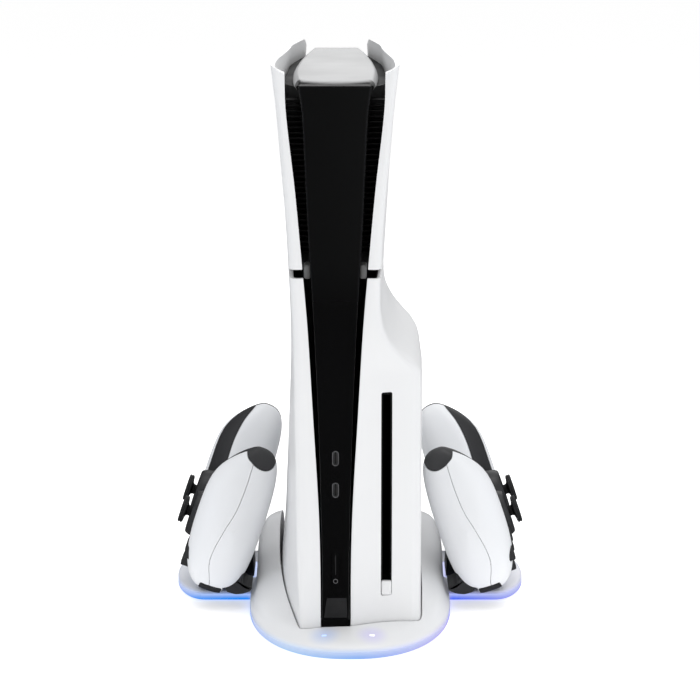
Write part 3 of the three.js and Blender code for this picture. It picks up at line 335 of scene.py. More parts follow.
# two tones, polish, grain, grain cells, grain depth, specular, scale of the drift between the tones
PLASTICS = {
    "cover_white": ((0.755, 0.758, 0.762), (0.785, 0.787, 0.79), (0.42, 0.52), 0.3, 1400, 0.02, 0.4),
    "pad_white": ((0.775, 0.785, 0.805), (0.8, 0.81, 0.825), (0.4, 0.5), 0.35, 1600, 0.03, 0.4),
    "pad_black": ((0.028, 0.028, 0.03), (0.036, 0.036, 0.038), (0.45, 0.6), 0.5, 1300, 0.04, 0.4),
    "stick_rubber": ((0.017, 0.017, 0.018), (0.024, 0.024, 0.025), (0.6, 0.75), 0.5, 900, 0.05, 0.3),
    "matte_black": ((0.004, 0.004, 0.0042), (0.006, 0.006, 0.0062), (0.5, 0.65), 0.4, 900, 0.03, 0.25),
    "band_grey": ((0.05, 0.05, 0.052), (0.07, 0.07, 0.072), (0.08, 0.14), 0, 900, 0, 0.6),
    # the band's ends use the band's grey made lighter, as a painted highlight
    "band_end_painted_highlight": ((0.2, 0.2, 0.2), (0.26, 0.26, 0.26), (0.3, 0.4)),
    "rubber_black": ((0.012, 0.012, 0.012), (0.02, 0.02, 0.02), (0.7, 0.85), 0.5, 900, 0.05, 0.2),
    "fan_black": ((0.01, 0.01, 0.01), (0.014, 0.014, 0.014), (0.4, 0.55), 0.2),
    # the power bar's smoked plastic, also used for the painted reflection plate at the foot of the face
    "smoked_and_painted_reflection": ((0.012, 0.012, 0.0125), (0.03, 0.03, 0.031), (0.1, 0.16), 0, 900, 0, 0.5, 60)}
MATERIALS = {name: plastic(name, *look) for name, look in PLASTICS.items()}
MATERIALS.update(stand_white=stand_white(), gloss_black=gloss_black(), cap_grey=cap_grey(),
    light_diffuser=light_diffuser(), port_metal=port_metal(),
    lamp_blue=lamp_spot("lamp_blue", (0.5, 0.66, 1.0), 0.55),
    lamp_white=lamp_spot("lamp_white", (0.9, 0.9, 1.0), 1.0))
# CAD slots of the materials not named like their slot
SLOTS = {"stand_white": "cover_white", "stick_rubber": "pad_black", "port_metal": "band_grey",
    "band_end_painted_highlight": "band_grey", "smoked_and_painted_reflection": "gloss_black", "lamp_blue": "light_diffuser",
    "lamp_white": "light_diffuser"}

# ---------------------------------------------------------------- shape tools
SHARP = math.radians(32)  # edges that turn more are shaded as corners
WELD = 0.004

def lerp(a, b, t):
    return a + (b - a) * t

def smoothstep(t, low, high):
    s = min(1, max(0, (t - low) / (high - low)))
    return s * s * (3 - 2 * s)

def curve(pairs, t):
    """Smooth curve through a short list of (position, value) pairs."""
    last = len(pairs) - 1
    if t <= pairs[0][0]:
        return pairs[0][1]
    if t >= pairs[last][0]:
        return pairs[last][1]
    i = 0
    while t > pairs[i + 1][0]:
        i += 1

    def slope(k):
        a, b = pairs[max(0, k - 1)], pairs[min(last, k + 1)]
        return (b[1] - a[1]) / (b[0] - a[0])
    step = pairs[i + 1][0] - pairs[i][0]
    s = (t - pairs[i][0]) / step
    h = s * s * (3 - 2 * s)
    bend = slope(i) * step * s * (1 - s) ** 2 + slope(i + 1) * step * s * s * (s - 1)
    return pairs[i][1] * (1 - h) + pairs[i + 1][1] * h + bend

def smooth_path(points, steps):
    """Points along a smooth curve through the given ones."""
    fine = []
    last = len(points) - 1
    for i in range(last):
        p0, p1, p2, p3 = (Vector(points[min(last, max(0, i + k))]) for k in (-1, 0, 1, 2))
        for j in range(steps):
            t = j / steps
            fine.append(0.5 * (2 * p1 + (p2 - p0) * t + (2 * p0 - 5 * p1 + 4 * p2 - p3) * t * t
                               + (3 * p1 - p0 - 3 * p2 + p3) * t ** 3))
    fine.append(Vector(points[last]))
    return fine

def span(start, end, count):
    return [lerp(start, end, i / (count - 1)) for i in range(count)]

def pull_on(bm, verts, edges, points):
    """Extrudes a closed chain of edges and moves its new end to the given points."""
    made = bmesh.ops.extrude_edge_only(bm, edges=edges)["geom"]
    fresh = {v for v in made if isinstance(v, bmesh.types.BMVert)}
    ends = [next(e.other_vert(vert) for e in vert.link_edges if e.other_vert(vert) in fresh) for vert in verts]
    for end, point in zip(ends, points):
        end.co = point
    return ends, [e for e in made if isinstance(e, bmesh.types.BMEdge) and set(e.verts) <= fresh]

def loft(rings):
    """Closed solid through rings of points."""
    bm = bmesh.new()
    verts = [bm.verts.new(p) for p in rings[0]]
    edges = [bm.edges.new(pair) for pair in zip(verts, verts[1:] + verts[:1])]
    bm.faces.new(verts)
    for ring in rings[1:]:
        verts, edges = pull_on(bm, verts, edges, ring)
    bm.faces.new(verts)
    bmesh.ops.recalc_face_normals(bm, faces=bm.faces)
    return bm

def block(low, high, edge=0.0, segments=2):
    bm = bmesh.new()
    bmesh.ops.create_cube(bm, size=1)
    size = Vector(high) - Vector(low)
    bmesh.ops.scale(bm, vec=size, verts=bm.verts)
    bmesh.ops.translate(bm, vec=(Vector(high) + Vector(low)) / 2, verts=bm.verts)
    if edge:
        bevel(bm, bm.edges[:], edge, segments)
    return bm

def bevel(bm, edges, width, segments=2):
    bmesh.ops.bevel(bm, geom=edges, offset=width, offset_type="OFFSET", affect="EDGES", segments=segments,
        profile=0.5, material=-1, clamp_overlap=True)

def sharp_edges(bm):
    bm.normal_update()
    return [e for e in bm.edges if e.calc_face_angle(0) > SHARP]

def long_edges(bm, axis):
    """Edges that run along an axis."""
    return [e for e in bm.edges if abs(e.verts[0].co[axis] - e.verts[1].co[axis]) > 1]

def ease_top(bm, top, width, segments):
    """Rounds the sharp edges at a solid's top."""
    bevel(bm, [e for e in sharp_edges(bm) if min(v.co.z for v in e.verts) > top - 0.01], width, segments)

def column(outline, z0, z1):
    """Upright solid on an outline in x and y."""
    return loft([[Vector((p[0], p[1], z)) for p in outline] for z in (z0, z1)])

def drum(x, y, z0, z1, radius, sides=64):
    bm = bmesh.new()
    bmesh.ops.create_cone(bm, cap_ends=True, segments=sides, radius1=radius, radius2=radius, depth=z1 - z0)
    return moved(bm, x, y, (z0 + z1) / 2)

def moved(bm, x, y, z=0):
    bm.transform(Matrix.Translation((x, y, z)))
    return bm

def turned(profile, steps=48, closed=False):
    """Solid of revolution about Z through (radius, height) pairs that end on the axis or close on themselves."""
    bm = bmesh.new()
    verts = [bm.verts.new((r, 0, z)) for r, z in profile]
    edges = [bm.edges.new(pair) for pair in zip(verts, verts[1:] + verts[:1] if closed else verts[1:])]
    bmesh.ops.spin(bm, geom=verts + edges, cent=(0, 0, 0), axis=(0, 0, 1), angle=2 * math.pi, steps=steps,
        use_merge=True)
    bmesh.ops.remove_doubles(bm, verts=bm.verts, dist=1e-4)
    bmesh.ops.recalc_face_normals(bm, faces=bm.faces)
    return bm

def shade(bm):
    bm.normal_update()
    for face in bm.faces:
        face.smooth = True
    for edge in bm.edges:
        edge.smooth = not (len(edge.link_faces) == 2 and edge.calc_face_angle(0) > SHARP)

def solid(bm, name="part"):
    mesh = bpy.data.meshes.new(name)
    bm.to_mesh(mesh)
    bm.free()
    made = bpy.data.objects.new(name, mesh)
    scene.collection.objects.link(made)
    return made

def carve(target, cutter, operation="DIFFERENCE"):
    """Cuts the target by another shape, and keeps the result as its mesh."""
    tool = cutter if isinstance(cutter, bpy.types.Object) else solid(cutter)
    cut = target.modifiers.new("cut", "BOOLEAN")
    cut.operation = operation
    cut.solver = "MANIFOLD"
    cut.object = tool
    done = bpy.data.meshes.new_from_object(target.evaluated_get(bpy.context.evaluated_depsgraph_get()))
    target.modifiers.clear()
    target.data = done
    bpy.data.objects.remove(tool)
    return target

def copy_of(made):
    other = bpy.data.objects.new("copy", made.data.copy())
    scene.collection.objects.link(other)
    return other

def finish_piece(made, name, material, body, slot=None, nodes=(), matrix=None):
    """Sizes the piece in metres, shades it, gives it its material and puts it on its body."""
    bm = bmesh.new()
    bm.from_mesh(made.data)
    bmesh.ops.remove_doubles(bm, verts=bm.verts, dist=WELD)
    bmesh.ops.dissolve_degenerate(bm, dist=WELD, edges=bm.edges)
    bm.transform(Matrix.Scale(MM, 4) if matrix is None else matrix @ Matrix.Scale(MM, 4))
    shade(bm)
    bm.to_mesh(made.data)
    bm.free()
    made.name = name
    made.data.name = name
    made.data.materials.clear()
    made.data.materials.append(MATERIALS[material])
    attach(made, body)
    slot or SLOTS.get(material, material)
    if nodes:
        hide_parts(*nodes)
    return made

def piece(name, bm, material, body, **more):
    return finish_piece(solid(bm), name, material, body, **more)

# ---------------------------------------------------------------- console
FRONT_HALF = [(0, 0.55), (0.1, 0.59), (0.4, 0.635), (0.545, 0.655), (0.615, 0.69), (0.72, 0.74), (0.855, 0.845),
    (0.925, 0.9), (1, 0.975)]
MIDDLE_HALF = [(0, 0.94), (0.04, 0.925), (0.13, 0.86), (0.22, 0.825), (0.33, 0.785), (0.47, 0.745), (0.615, 0.78),
    (0.79, 0.86), (0.925, 0.88), (1, 0.81)]
BACK_HALF = [(0, 0.8), (0.33, 0.7), (0.6, 0.64), (0.8, 0.6), (1, 0.545)]
COVER_EDGE = [(0, 0.237), (0.11, 0.24), (0.22, 0.265), (0.4, 0.355), (0.545, 0.43), (0.654, 0.51), (0.788, 0.617),
    (0.925, 0.75), (1, 0.765)]
FACE_HALF = [(0, 0.225), (0.11, 0.2175), (0.22, 0.235), (0.4, 0.28), (0.58, 0.3525), (0.72, 0.425), (0.855, 0.478),
    (0.925, 0.51), (0.958, 0.555), (1, 0.58)]
BULGE = [(0.455, 1), (0.469, 0.93), (0.483, 0.745), (0.497, 0.56), (0.511, 0.4), (0.525, 0.28), (0.545, 0.15),
    (0.58, 0.04), (0.62, 0)]
BULGE_PLAN_X = [0.19, 0.5, 0.79, 0.9, 0.975, 0.99, 1, 1, 1, 0.99, 0.92, 0.74, 0.6]
BULGE_PLAN_Y = [0.009, 0.037, 0.058, 0.069, 0.095, 0.19, 0.3, 0.42, 0.56, 0.7, 0.83, 0.93, 1]
SIDE_SHARES = [0.028, 0.09, 0.19, 0.3, 0.42, 0.56, 0.7, 0.83, 0.93, 1]
HALF_WIDTH = CONSOLE_WIDTH / 2
TOP_FALL = 4
BACK_CORNER, BACK_FALL = 14, 5
TIP_DEPTH, TIP_FALL = 14, 6
BACK_SHARE = 0.985
CHASSIS_FRONT = 6.1

def width_at(table, z):
    return curve(table, (z - CONSOLE_FLOOR) / CONSOLE_HEIGHT) * HALF_WIDTH

def cover_half(z, share):
    """Half-width of a cover's outer face at a height and a share of the depth."""
    front, middle = width_at(FRONT_HALF, z), width_at(MIDDLE_HALF, z)
    swell = math.sin(math.pi / 2 * min(1, share / 0.55)) if middle > front else smoothstep(share, 0.1, 0.64)
    near = lerp(front, middle, swell)
    return lerp(near, width_at(BACK_HALF, z), smoothstep(share, 0.62, 1.12))

def cover_plan(z, bulging, steps=6):
    """Plan of a cover's outer face from its front inner edge to the back."""
    edge = width_at(COVER_EDGE, z)
    front = cover_half(z, SIDE_SHARES[0])
    plan = [(edge, 1.4), (lerp(edge, front, 0.5), 0.9), (front - 1.6, 2.2)]
    plan += [(cover_half(z, share), share * CONSOLE_DEPTH) for share in SIDE_SHARES]
    if bulging:
        swell = curve(BULGE, (z - CONSOLE_FLOOR) / CONSOLE_HEIGHT)
        reach = [edge] + [share * BULGE_REACH for share in BULGE_PLAN_X[1:]]
        plan = [(lerp(x, reach[i], swell), lerp(y, BULGE_PLAN_Y[i] * CONSOLE_DEPTH, swell))
                for i, (x, y) in enumerate(plan)]
    return smooth_path(plan, steps)

def offset_path(path, by):
    """The path moved to its left-hand side, with its first point moved straight back."""
    moved = []
    last = len(path) - 1
    for i, point in enumerate(path):
        along = (path[min(last, i + 1)] - path[max(0, i - 1)]).normalized()
        moved.append(point + Vector((-along.y, along.x)) * by)
    start = path[0] + Vector((0, by))
    for i in range(6):
        moved[i] = start.lerp(moved[6], i / 6)
    return moved

def console_point(side, point, z):
    return Vector((CONSOLE_X + side * point[0], CONSOLE_FRONT + point[1], z))

def mirrored_ring(side, z):
    """Ring from one side's path and its mirror image across the console."""
    return [console_point(1, p, z) for p in side] + [console_point(-1, p, z) for p in side[::-1]]

def top_fall(point, share, edge, half):
    """How much a cover's top drops: a slope to the back, a rounded back corner and a slanted front tip."""
    back = max(0, 1 - (CONSOLE_DEPTH - point.y) / BACK_CORNER) ** 2
    tip = max(0, 1 - point.y / TIP_DEPTH) * min(1, max(0, (half - point.x) / (half - edge)))
    return TOP_FALL * share * point.y / CONSOLE_DEPTH + (BACK_FALL * back + TIP_FALL * tip) * share ** 14

def cover(side, low, high, bulging=False, sloping=False, levels=44):
    rings = []
    for z in span(low, high, levels):
        outer = cover_plan(z, bulging)
        inner = offset_path(outer, COVER_WALL)
        share = (z - low) / (high - low)
        edge, half = width_at(COVER_EDGE, z), cover_half(z, 0)
        ring = outer + inner[::-1]
        falls = [top_fall(p, share, edge, half) if sloping else 0 for p in ring]
        rings.append([console_point(side, p, z - fall) for p, fall in zip(ring, falls)])
    bm = loft(rings)
    bevel(bm, sharp_edges(bm), 0.5)
    return solid(bm)

def chassis_ring(z):
    face = width_at(FACE_HALF, z)
    inset = COVER_WALL + 0.8
    half = [(face, CHASSIS_FRONT), (face + 0.4, 24), (min(face + 9, cover_half(z, 0.19) - inset), 42)]
    for share in (*SIDE_SHARES[3:-1], BACK_SHARE):
        half.append((cover_half(z, share) - inset, share * CONSOLE_DEPTH))
    return mirrored_ring([half[0]] + smooth_path(half[1:], 4), z)

WAIST_LOW, WAIST_HIGH = LEFT_HIGH.z, UPPER_LOW.z
BAND_LOW, BAND_HIGH = corners("waist_band")
SLOT_SIDES = 6.9
SLOT_RISE = 133
SLOT_CENTRE = (EJECT_LOW.x + EJECT_HIGH.x) / 2
SLOT_BOTTOM = EJECT_LOW.z - 0.3

def add_covers():
    left = cover(-1, CONSOLE_FLOOR, WAIST_LOW, levels=40)
    high_left, high_right = (cover(side, WAIST_HIGH, UPPER_HIGH.z, sloping=True, levels=26) for side in (-1, 1))
    right = cover(1, CONSOLE_FLOOR, WAIST_LOW, bulging=True, levels=72)
    slot = block((SLOT_CENTRE - SLOT_SIDES / 2, CONSOLE_FRONT - 5, SLOT_BOTTOM),
        (SLOT_CENTRE + SLOT_SIDES / 2, CONSOLE_FRONT + 21, SLOT_BOTTOM + SLOT_RISE))
    bevel(slot, long_edges(slot, 1), 1.2, 4)
    carve(right, slot)
    for shape, name, node in ((left, "left_cover_low", "lower_left_cover"),
            (high_left, "left_cover_high", "upper_left_cover"), (high_right, "right_cover_high", "upper_right_cover"),
            (right, "disc_cover", "drive_cover")):
        finish_piece(shape, name, "cover_white", "console", nodes=[node])

def add_chassis():
    body = solid(loft([chassis_ring(z) for z in span(CONSOLE_FLOOR, CHASSIS_HIGH.z, 40)]))
    low, high = corners("disc_drive")
    carve(body, block((low.x - 0.5, low.y + 9, low.z - 0.5), (high.x + 0.5, high.y + 0.5, high.z + 0.5)))
    fan_low, fan_high = corners("blower_fan")
    pocket = drum(0, 0, -30, fan_high.x - fan_low.x + 3, (fan_high.z - fan_low.z) / 2 + 3, sides=72)
    pocket.transform(Matrix.Rotation(math.pi / 2, 4, "Y"))
    moved(pocket, fan_low.x, (fan_low.y + fan_high.y) / 2, (fan_low.z + fan_high.z) / 2)
    carve(body, pocket)
    finish_piece(body, "chassis", "matte_black", "console", nodes=["console_chassis"])
    # slats in the channels beside the face
    bm = bmesh.new()
    z = WAIST_HIGH + 6
    while z < CAP_LOW.z - 8:
        near = width_at(FACE_HALF, z)
        far = cover_half(z, 0.1) - COVER_WALL - 0.9
        for side in (-1, 1):
            low = console_point(side, (near if side > 0 else far, 24), z)
            high = console_point(side, (far if side > 0 else near, 31), z + 1.1)
            add_to(bm, block(low, high, 0.25, 1))
        z += 3.4
    piece("channel_slats", bm, "matte_black", "console")

def add_to(bm, other):
    mesh = bpy.data.meshes.new("part")
    other.to_mesh(mesh)
    other.free()
    bm.from_mesh(mesh)
    bpy.data.meshes.remove(mesh)

def pill_outline(x, y, half_wide, half_long, steps=12):
    outline = []
    for shift, start in ((half_long - half_wide, 0), (half_wide - half_long, math.pi)):
        outline += [(x + half_wide * math.cos(start + i * math.pi / steps),
                     y + shift + half_wide * math.sin(start + i * math.pi / steps)) for i in range(steps + 1)]
    return outline

def upright(outline, front, back):
    """Solid on an outline in x and z, from front to back."""
    return loft([[Vector((x, y, z)) for x, z in outline] for y in (front, back)])

def add_face():
    rings = []
    for z in span(FACE_LOW.z, FACE_TOP, 44):
        half = width_at(FACE_HALF, z) - 0.15
        side = [(half - FACE_SOFT + FACE_SOFT * math.sin(a), FASCIA_INSET + FACE_SOFT - FACE_SOFT * math.cos(a))
            for a in span(0, math.pi / 2, 6)]
        rings.append(mirrored_ring(side + [(half, FACE_BACK)], z))
    face = solid(loft(rings))
    middle = (POWER_LOW.z + POWER_HIGH.z) / 2
    half_wide = (POWER_HIGH.x - POWER_LOW.x) / 2
    half_long = (POWER_HIGH.z - POWER_LOW.z) / 2
    front = FACE_LOW.y
    hole = upright(pill_outline(CONSOLE_X, middle, half_wide + 0.3, half_long + 0.3), front - 2, front + 3)
    carve(face, hole)
    for z in PORT_HEIGHTS:
        carve(face, upright(pill_outline(CONSOLE_X, z, 2.1, 4.9), front - 2, front + 3.6))
    finish_piece(face, "glossy_face", "gloss_black", "console", nodes=["front_fascia"])
    for i, z in enumerate(PORT_HEIGHTS):
        rim = solid(upright(pill_outline(CONSOLE_X, z, 2.05, 4.85), front - 0.05, front + 3.4))
        carve(rim, upright(pill_outline(CONSOLE_X, z, 1.65, 4.45), front - 1, front + 3.1))
        finish_piece(rim, f"port_rim_{i}", "port_metal", "console")
        tongue = block((CONSOLE_X - 0.35, front + 0.5, z - 3.3), (CONSOLE_X + 0.35, front + 3.2, z + 3.3), 0.15)
        piece(f"port_tongue_{i}", tongue, "rubber_black", "console")
    pill = upright(pill_outline(CONSOLE_X, middle, half_wide, half_long, 20), POWER_LOW.y, POWER_HIGH.y)
    bevel(pill, [e for e in sharp_edges(pill) if max(v.co.y for v in e.verts) < POWER_LOW.y + 0.01], 0.35, 3)
    piece("power_pill", pill, "gloss_black", "power_button", nodes=["power_button"])
    ring = turned([(1.15, -0.05), (1.5, -0.05), (1.5, 0.3), (1.15, 0.3)], 40, closed=True)
    ring.transform(Matrix.Rotation(math.pi / 2, 4, "X"))
    moved(ring, CONSOLE_X, POWER_LOW.y + 0.05, POWER_LOW.z + 2.4)
    piece("power_ring", ring, "port_metal", "power_button")
    # painted reflection: a dark grey plate just proud of the face's foot stands in for the stand mirrored in the
    # gloss
    low, high = FACE_LOW.z + 1.5, FACE_LOW.z + 14.5
    plate = [(CONSOLE_X - 7.4, low), (CONSOLE_X + 7.4, low), (CONSOLE_X + 7.0, high), (CONSOLE_X - 5.4, high)]
    plate = upright(rounded(plate, 0.6), front - 0.08, front + 0.4)
    piece("painted_reflection_plate", plate, "smoked_and_painted_reflection", "console")
    bar = upright(pill_outline(CONSOLE_X, POWER_LOW.z + 13, 0.28, 6.4), POWER_LOW.y - 0.04, POWER_LOW.y + 0.3)
    piece("power_bar", bar, "smoked_and_painted_reflection", "power_button")

PORT_HEIGHTS = (104, 124.5)
FACE_SOFT = 1.3
FACE_BACK = 5.8
FACE_TOP = CAP_HIGH.z - 3

CAP_PLAN = [(0.555, 0.0), (0.59, 0.02), (0.635, 0.1), (0.67, 0.31), (0.62, 0.56), (0.53, 0.78), (0.42, 0.965)]
CAP_ROUND = 5

def front_step(top):
    """Room for the front face under the cap, up to a height."""
    return block((CONSOLE_X - 60, CONSOLE_FRONT - 5, CAP_LOW.z - 1), (CONSOLE_X + 60, FACE_HIGH.y + 0.3, top))

def add_cap():
    plan = smooth_path(CAP_PLAN, 6)

    def ring(z, inset, front):
        back = BACK_SHARE * CONSOLE_DEPTH - inset
        side = [(p.x * HALF_WIDTH - inset, lerp(front, back, p.y / CAP_PLAN[-1][1])) for p in plan]
        return mirrored_ring(side, z)
    low = CAP_HIGH.z - CAP_ROUND + 0.5
    foot = solid(loft([ring(z, 0.6, 1.5) for z in (CAP_LOW.z, low)]))
    carve(foot, front_step(CAP_HIGH.z))
    finish_piece(foot, "cap_foot", "matte_black", "console")
    rings = [ring(low, 0, 1)]
    for a in span(0.12, math.pi / 2, 10):
        fall = 1 - math.cos(a)
        rings.append(ring(CAP_HIGH.z - CAP_ROUND * (1 - math.sin(a)), 3.4 * fall, 1 + 9 * fall))
    cap = solid(loft(rings))
    carve(cap, front_step(FACE_TOP + 0.3))
    finish_piece(cap, "cap", "cap_grey", "console", nodes=["top_cap"])

def add_band():
    rings = []
    for z in (BAND_LOW.z, BAND_HIGH.z):
        path = [p.xy for p in chassis_ring(z) if p.y > BAND_LOW.y + 0.01]
        first = max((p for p in path if p.x > CONSOLE_X), key=lambda p: -p.y)
        path = [Vector((first.x, BAND_LOW.y))] + path + [Vector((2 * CONSOLE_X - first.x, BAND_LOW.y))]
        last = len(path) - 1
        outer, inner = [], []
        for i, point in enumerate(path):
            along = (path[min(last, i + 1)] - path[max(0, i - 1)]).normalized()
            outward = Vector((along.y, -along.x))
            outer.append(point + outward * 0.2)
            inner.append(point - outward * 2.6)
        rings.append([Vector((*p, z)) for p in outer + inner[::-1]])
    bm = loft(rings)
    bevel(bm, sharp_edges(bm), 0.3)
    piece("belt", bm, "band_grey", "console", nodes=["waist_band"])
    # rounded ends of the band in the channels beside the face, in a lighter grey than the band as a painted highlight
    middle = (BAND_LOW.z + BAND_HIGH.z) / 2
    near = width_at(FACE_HALF, middle) - 0.1
    far = width_at(COVER_EDGE, middle) - 0.5
    for side, name in ((-1, "left"), (1, "right")):
        a, b = sorted((side * near, side * far))
        end = block(console_point(1, (a, 8), middle - 4.6), console_point(1, (b, 20), middle + 4.6), 1.6, 4)
        piece(f"belt_end_{name}", end, "band_end_painted_highlight", "console")

def add_drive():
    low, high = corners("disc_drive")
    box_front = CONSOLE_FRONT + 19.4
    drive = solid(block((low.x, box_front, low.z), (high.x, high.y, high.z), 0.8, 3))
    bezel_low = EJECT_HIGH.z + 1.2
    bezel_high = SLOT_BOTTOM + SLOT_RISE - 0.3
    wide = SLOT_SIDES / 2 - 0.3
    bezel = block((SLOT_CENTRE - wide, low.y, bezel_low), (SLOT_CENTRE + wide, box_front + 1.5, bezel_high), 0.5)
    carve(drive, bezel, "UNION")
    mouth = block((SLOT_CENTRE - 2.4, low.y - 1, bezel_high - 122.2),
        (SLOT_CENTRE + 2.4, low.y + 120, bezel_high - 1.2), 0.6, 2)
    carve(drive, mouth)
    finish_piece(drive, "drive_unit", "matte_black", "console", nodes=["disc_drive"])
    button = block(EJECT_LOW, EJECT_HIGH, 0.9, 4)
    piece("eject_cap", button, "cover_white", "eject_button", nodes=["eject_button"])

def rotor(radius, thick, blades):
    """Hub with curved blades, along Z from the origin."""
    made = solid(turned([(0, thick), (radius * 0.2, thick), (radius * 0.3, thick - 0.5), (radius * 0.36, thick - 2),
        (radius * 0.36, 0.4), (radius * 0.34, 0), (0, 0)], 64))
    for i in range(blades):
        rings = []
        for r in span(radius * 0.3, radius * 0.99, 12):
            share = (r / radius - 0.3) / 0.7
            turn = 2 * math.pi * i / blades + 0.35 * share
            across = Vector((-math.sin(turn), math.cos(turn), 0))
            centre = Vector((math.cos(turn), math.sin(turn), 0)) * r
            lean = 1.4 * (1 - 0.4 * share)
            rings.append([centre + across * (u * 0.5 + v * lean * 0.5) + Vector((0, 0, thick * (0.5 + 0.38 * v)))
                for u, v in ((-1, -1), (1, -1), (1.2, 0), (1, 1), (-1, 1), (-0.8, 0))])
        carve(made, loft(rings), "UNION")
    return made

def add_fans():
    for body, blades, axis in (("blower_fan", 17, "X"), ("stand_fan", 11, "Z")):
        low, high = corners(body)
        middle = (low + high) / 2
        if axis == "X":
            radius, thick = (high.z - low.z) / 2, high.x - low.x
            place = Matrix.Translation((high.x, middle.y, middle.z)) @ Matrix.Rotation(-math.pi / 2, 4, "Y")
        else:
            radius, thick = (high.x - low.x) / 2, high.z - low.z
            place = Matrix.Translation((middle.x, middle.y, low.z))
        made = rotor(radius * 0.985, thick, blades)
        made.data.transform(place)
        finish_piece(made, body + "_rotor", "fan_black", body, nodes=[body])

def add_back():
    """Vents and sockets on the black back between the covers."""
    y = CONSOLE_FRONT + BACK_SHARE * CONSOLE_DEPTH
    bm = bmesh.new()
    z = CONSOLE_FLOOR + 96
    while z < CAP_LOW.z - 8:
        half = cover_half(z, BACK_SHARE) - COVER_WALL - 4.6
        add_to(bm, block((CONSOLE_X - half, y - 0.5, z), (CONSOLE_X + half, y + 1.5, z + 1.4), 0.35, 2))
        z += 4.2
    piece("rear_slats", bm, "fan_black", "console")

    def around(z, wide, tall, near, far, edge):
        """Block centred on the back at a height, as half-width, height, and reach in depth."""
        return block((CONSOLE_X - wide, y + near, z - tall / 2), (CONSOLE_X + wide, y + far, z + tall / 2), edge)
    for i, (rise, wide, tall) in enumerate(((20, 8, 15), (42, 6, 15), (60, 7, 7), (70, 7, 7))):
        z = CONSOLE_FLOOR + rise
        rim = solid(around(z, wide + 1, tall + 2, -0.4, 1.2, 0.5))
        carve(rim, around(z, wide, tall, 0.2, 4, 0.4))
        finish_piece(rim, f"socket_{i}", "port_metal" if i > 1 else "rubber_black", "console")
        piece(f"socket_tongue_{i}", around(z, wide * 0.7, 1.4, -0.2, 1.0, 0.2), "fan_black", "console")

# ---------------------------------------------------------------- stand
HALF_OVAL = 66.7
OVAL_FRONT, OVAL_BACK = STRIP_LOW.y, STRIP_HIGH.y
WIDEST = 0.46
WING_REACH = STRIP_HIGH.x
WING_DEPTH = 92
WING_END = 20.7
WING_TOP = 6.9
PAD_Y = 42
HUMP_TOP = SHELL_HIGH.z
SHELL_BOTTOM = SHELL_LOW.z
BODY_LEVELS = [(0, 1, 0, 1), (0.05, 0.995, 0.003, 0.998), (0.11, 0.965, 0.02, 0.992), (0.17, 0.95, 0.05, 0.985),
    (0.21, 0.944, 0.08, 0.975), (0.26, 0.942, 0.136, 0.965), (0.36, 0.94, 0.245, 0.95), (0.5, 0.94, 0.353, 0.93),
    (0.66, 0.93, 0.453, 0.905), (0.84, 0.885, 0.553, 0.87), (0.94, 0.82, 0.616, 0.835), (1, 0.67, 0.67, 0.79)]

def even_turn(i, count):
    """Angles that crowd where a squared-off oval turns quickest in its parameter."""
    t = 2 * math.pi * (i + 0.5) / count
    return t - 0.17 * math.sin(4 * t)

def squared(c, power):
    return math.copysign(abs(c) ** (2 / power), c)

def oval_ring(z, half, front, back, power=2.3, count=144):
    middle = lerp(front, back, WIDEST)
    ring = []
    for i in range(count):
        a = even_turn(i, count)
        reach = (front if math.sin(a) < 0 else back) - middle
        y = middle + reach * abs(squared(math.sin(a), power))
        ring.append(Vector((half * squared(math.cos(a), power), y, z)))
    return ring

def inset_oval(z, inset):
    return oval_ring(z, HALF_OVAL - inset, OVAL_FRONT + inset, OVAL_BACK - inset)

def wing_ring(z, inset, steps=48):
    straight = WING_REACH - WING_END
    right = [(straight + (WING_END - inset) * math.cos(a), PAD_Y + (WING_DEPTH / 2 - inset) * math.sin(a))
             for a in span(-math.pi / 2, math.pi / 2, steps)]
    return [Vector((x, y, z)) for x, y in right] + [Vector((-x, 2 * PAD_Y - y, z)) for x, y in right]

def stand_slab(inset, z0, z1, edge=0.0):
    """Stand's outline, taken in by a distance, between two heights, with its upper and lower edges eased."""
    levels = [(z0, inset), (z1, inset)]
    if edge:
        levels = [(z0, inset + edge), (z0 + edge, inset), (z1 - edge, inset), (z1, inset + edge)]
    slab = solid(loft([inset_oval(z, i) for z, i in levels]))
    return carve(slab, loft([wing_ring(z, i) for z, i in levels]), "UNION")

def body_ring(rise, inset):
    half, front, back = (curve([(level[0], level[k]) for level in BODY_LEVELS], rise) for k in (1, 2, 3))
    length = OVAL_BACK - OVAL_FRONT
    return oval_ring(lerp(SHELL_BOTTOM, HUMP_TOP - inset, rise), HALF_OVAL * half - inset,
                     OVAL_FRONT + front * length + inset, OVAL_FRONT + back * length - inset)

def stand_body(inset):
    rises = span(0, 0.9, 40) + [0.92, 0.94, 0.955, 0.97, 0.98, 0.99, 1]
    return solid(loft([body_ring(rise, inset) for rise in rises]))

def cradle(clear, z0, z1):
    """Room for the console's foot in the stand."""
    low = CONSOLE_FLOOR + 1
    right = [Vector((CONSOLE_X + p.x, CONSOLE_FRONT + p.y)) for p in cover_plan(low, True, 8)]
    left = [Vector((CONSOLE_X - p.x, CONSOLE_FRONT + p.y)) for p in cover_plan(low, False, 8)]
    return column(grow_outline(right + left[::-1], clear), z0, z1)

def lamp_column(x, grow):
    outline = [(q, p) for p, q in pill_outline(LAMP_Y, x, 0.9 + grow, 1.7 + grow)]
    return column(outline, SHELL_BOTTOM + 2, HUMP_TOP)

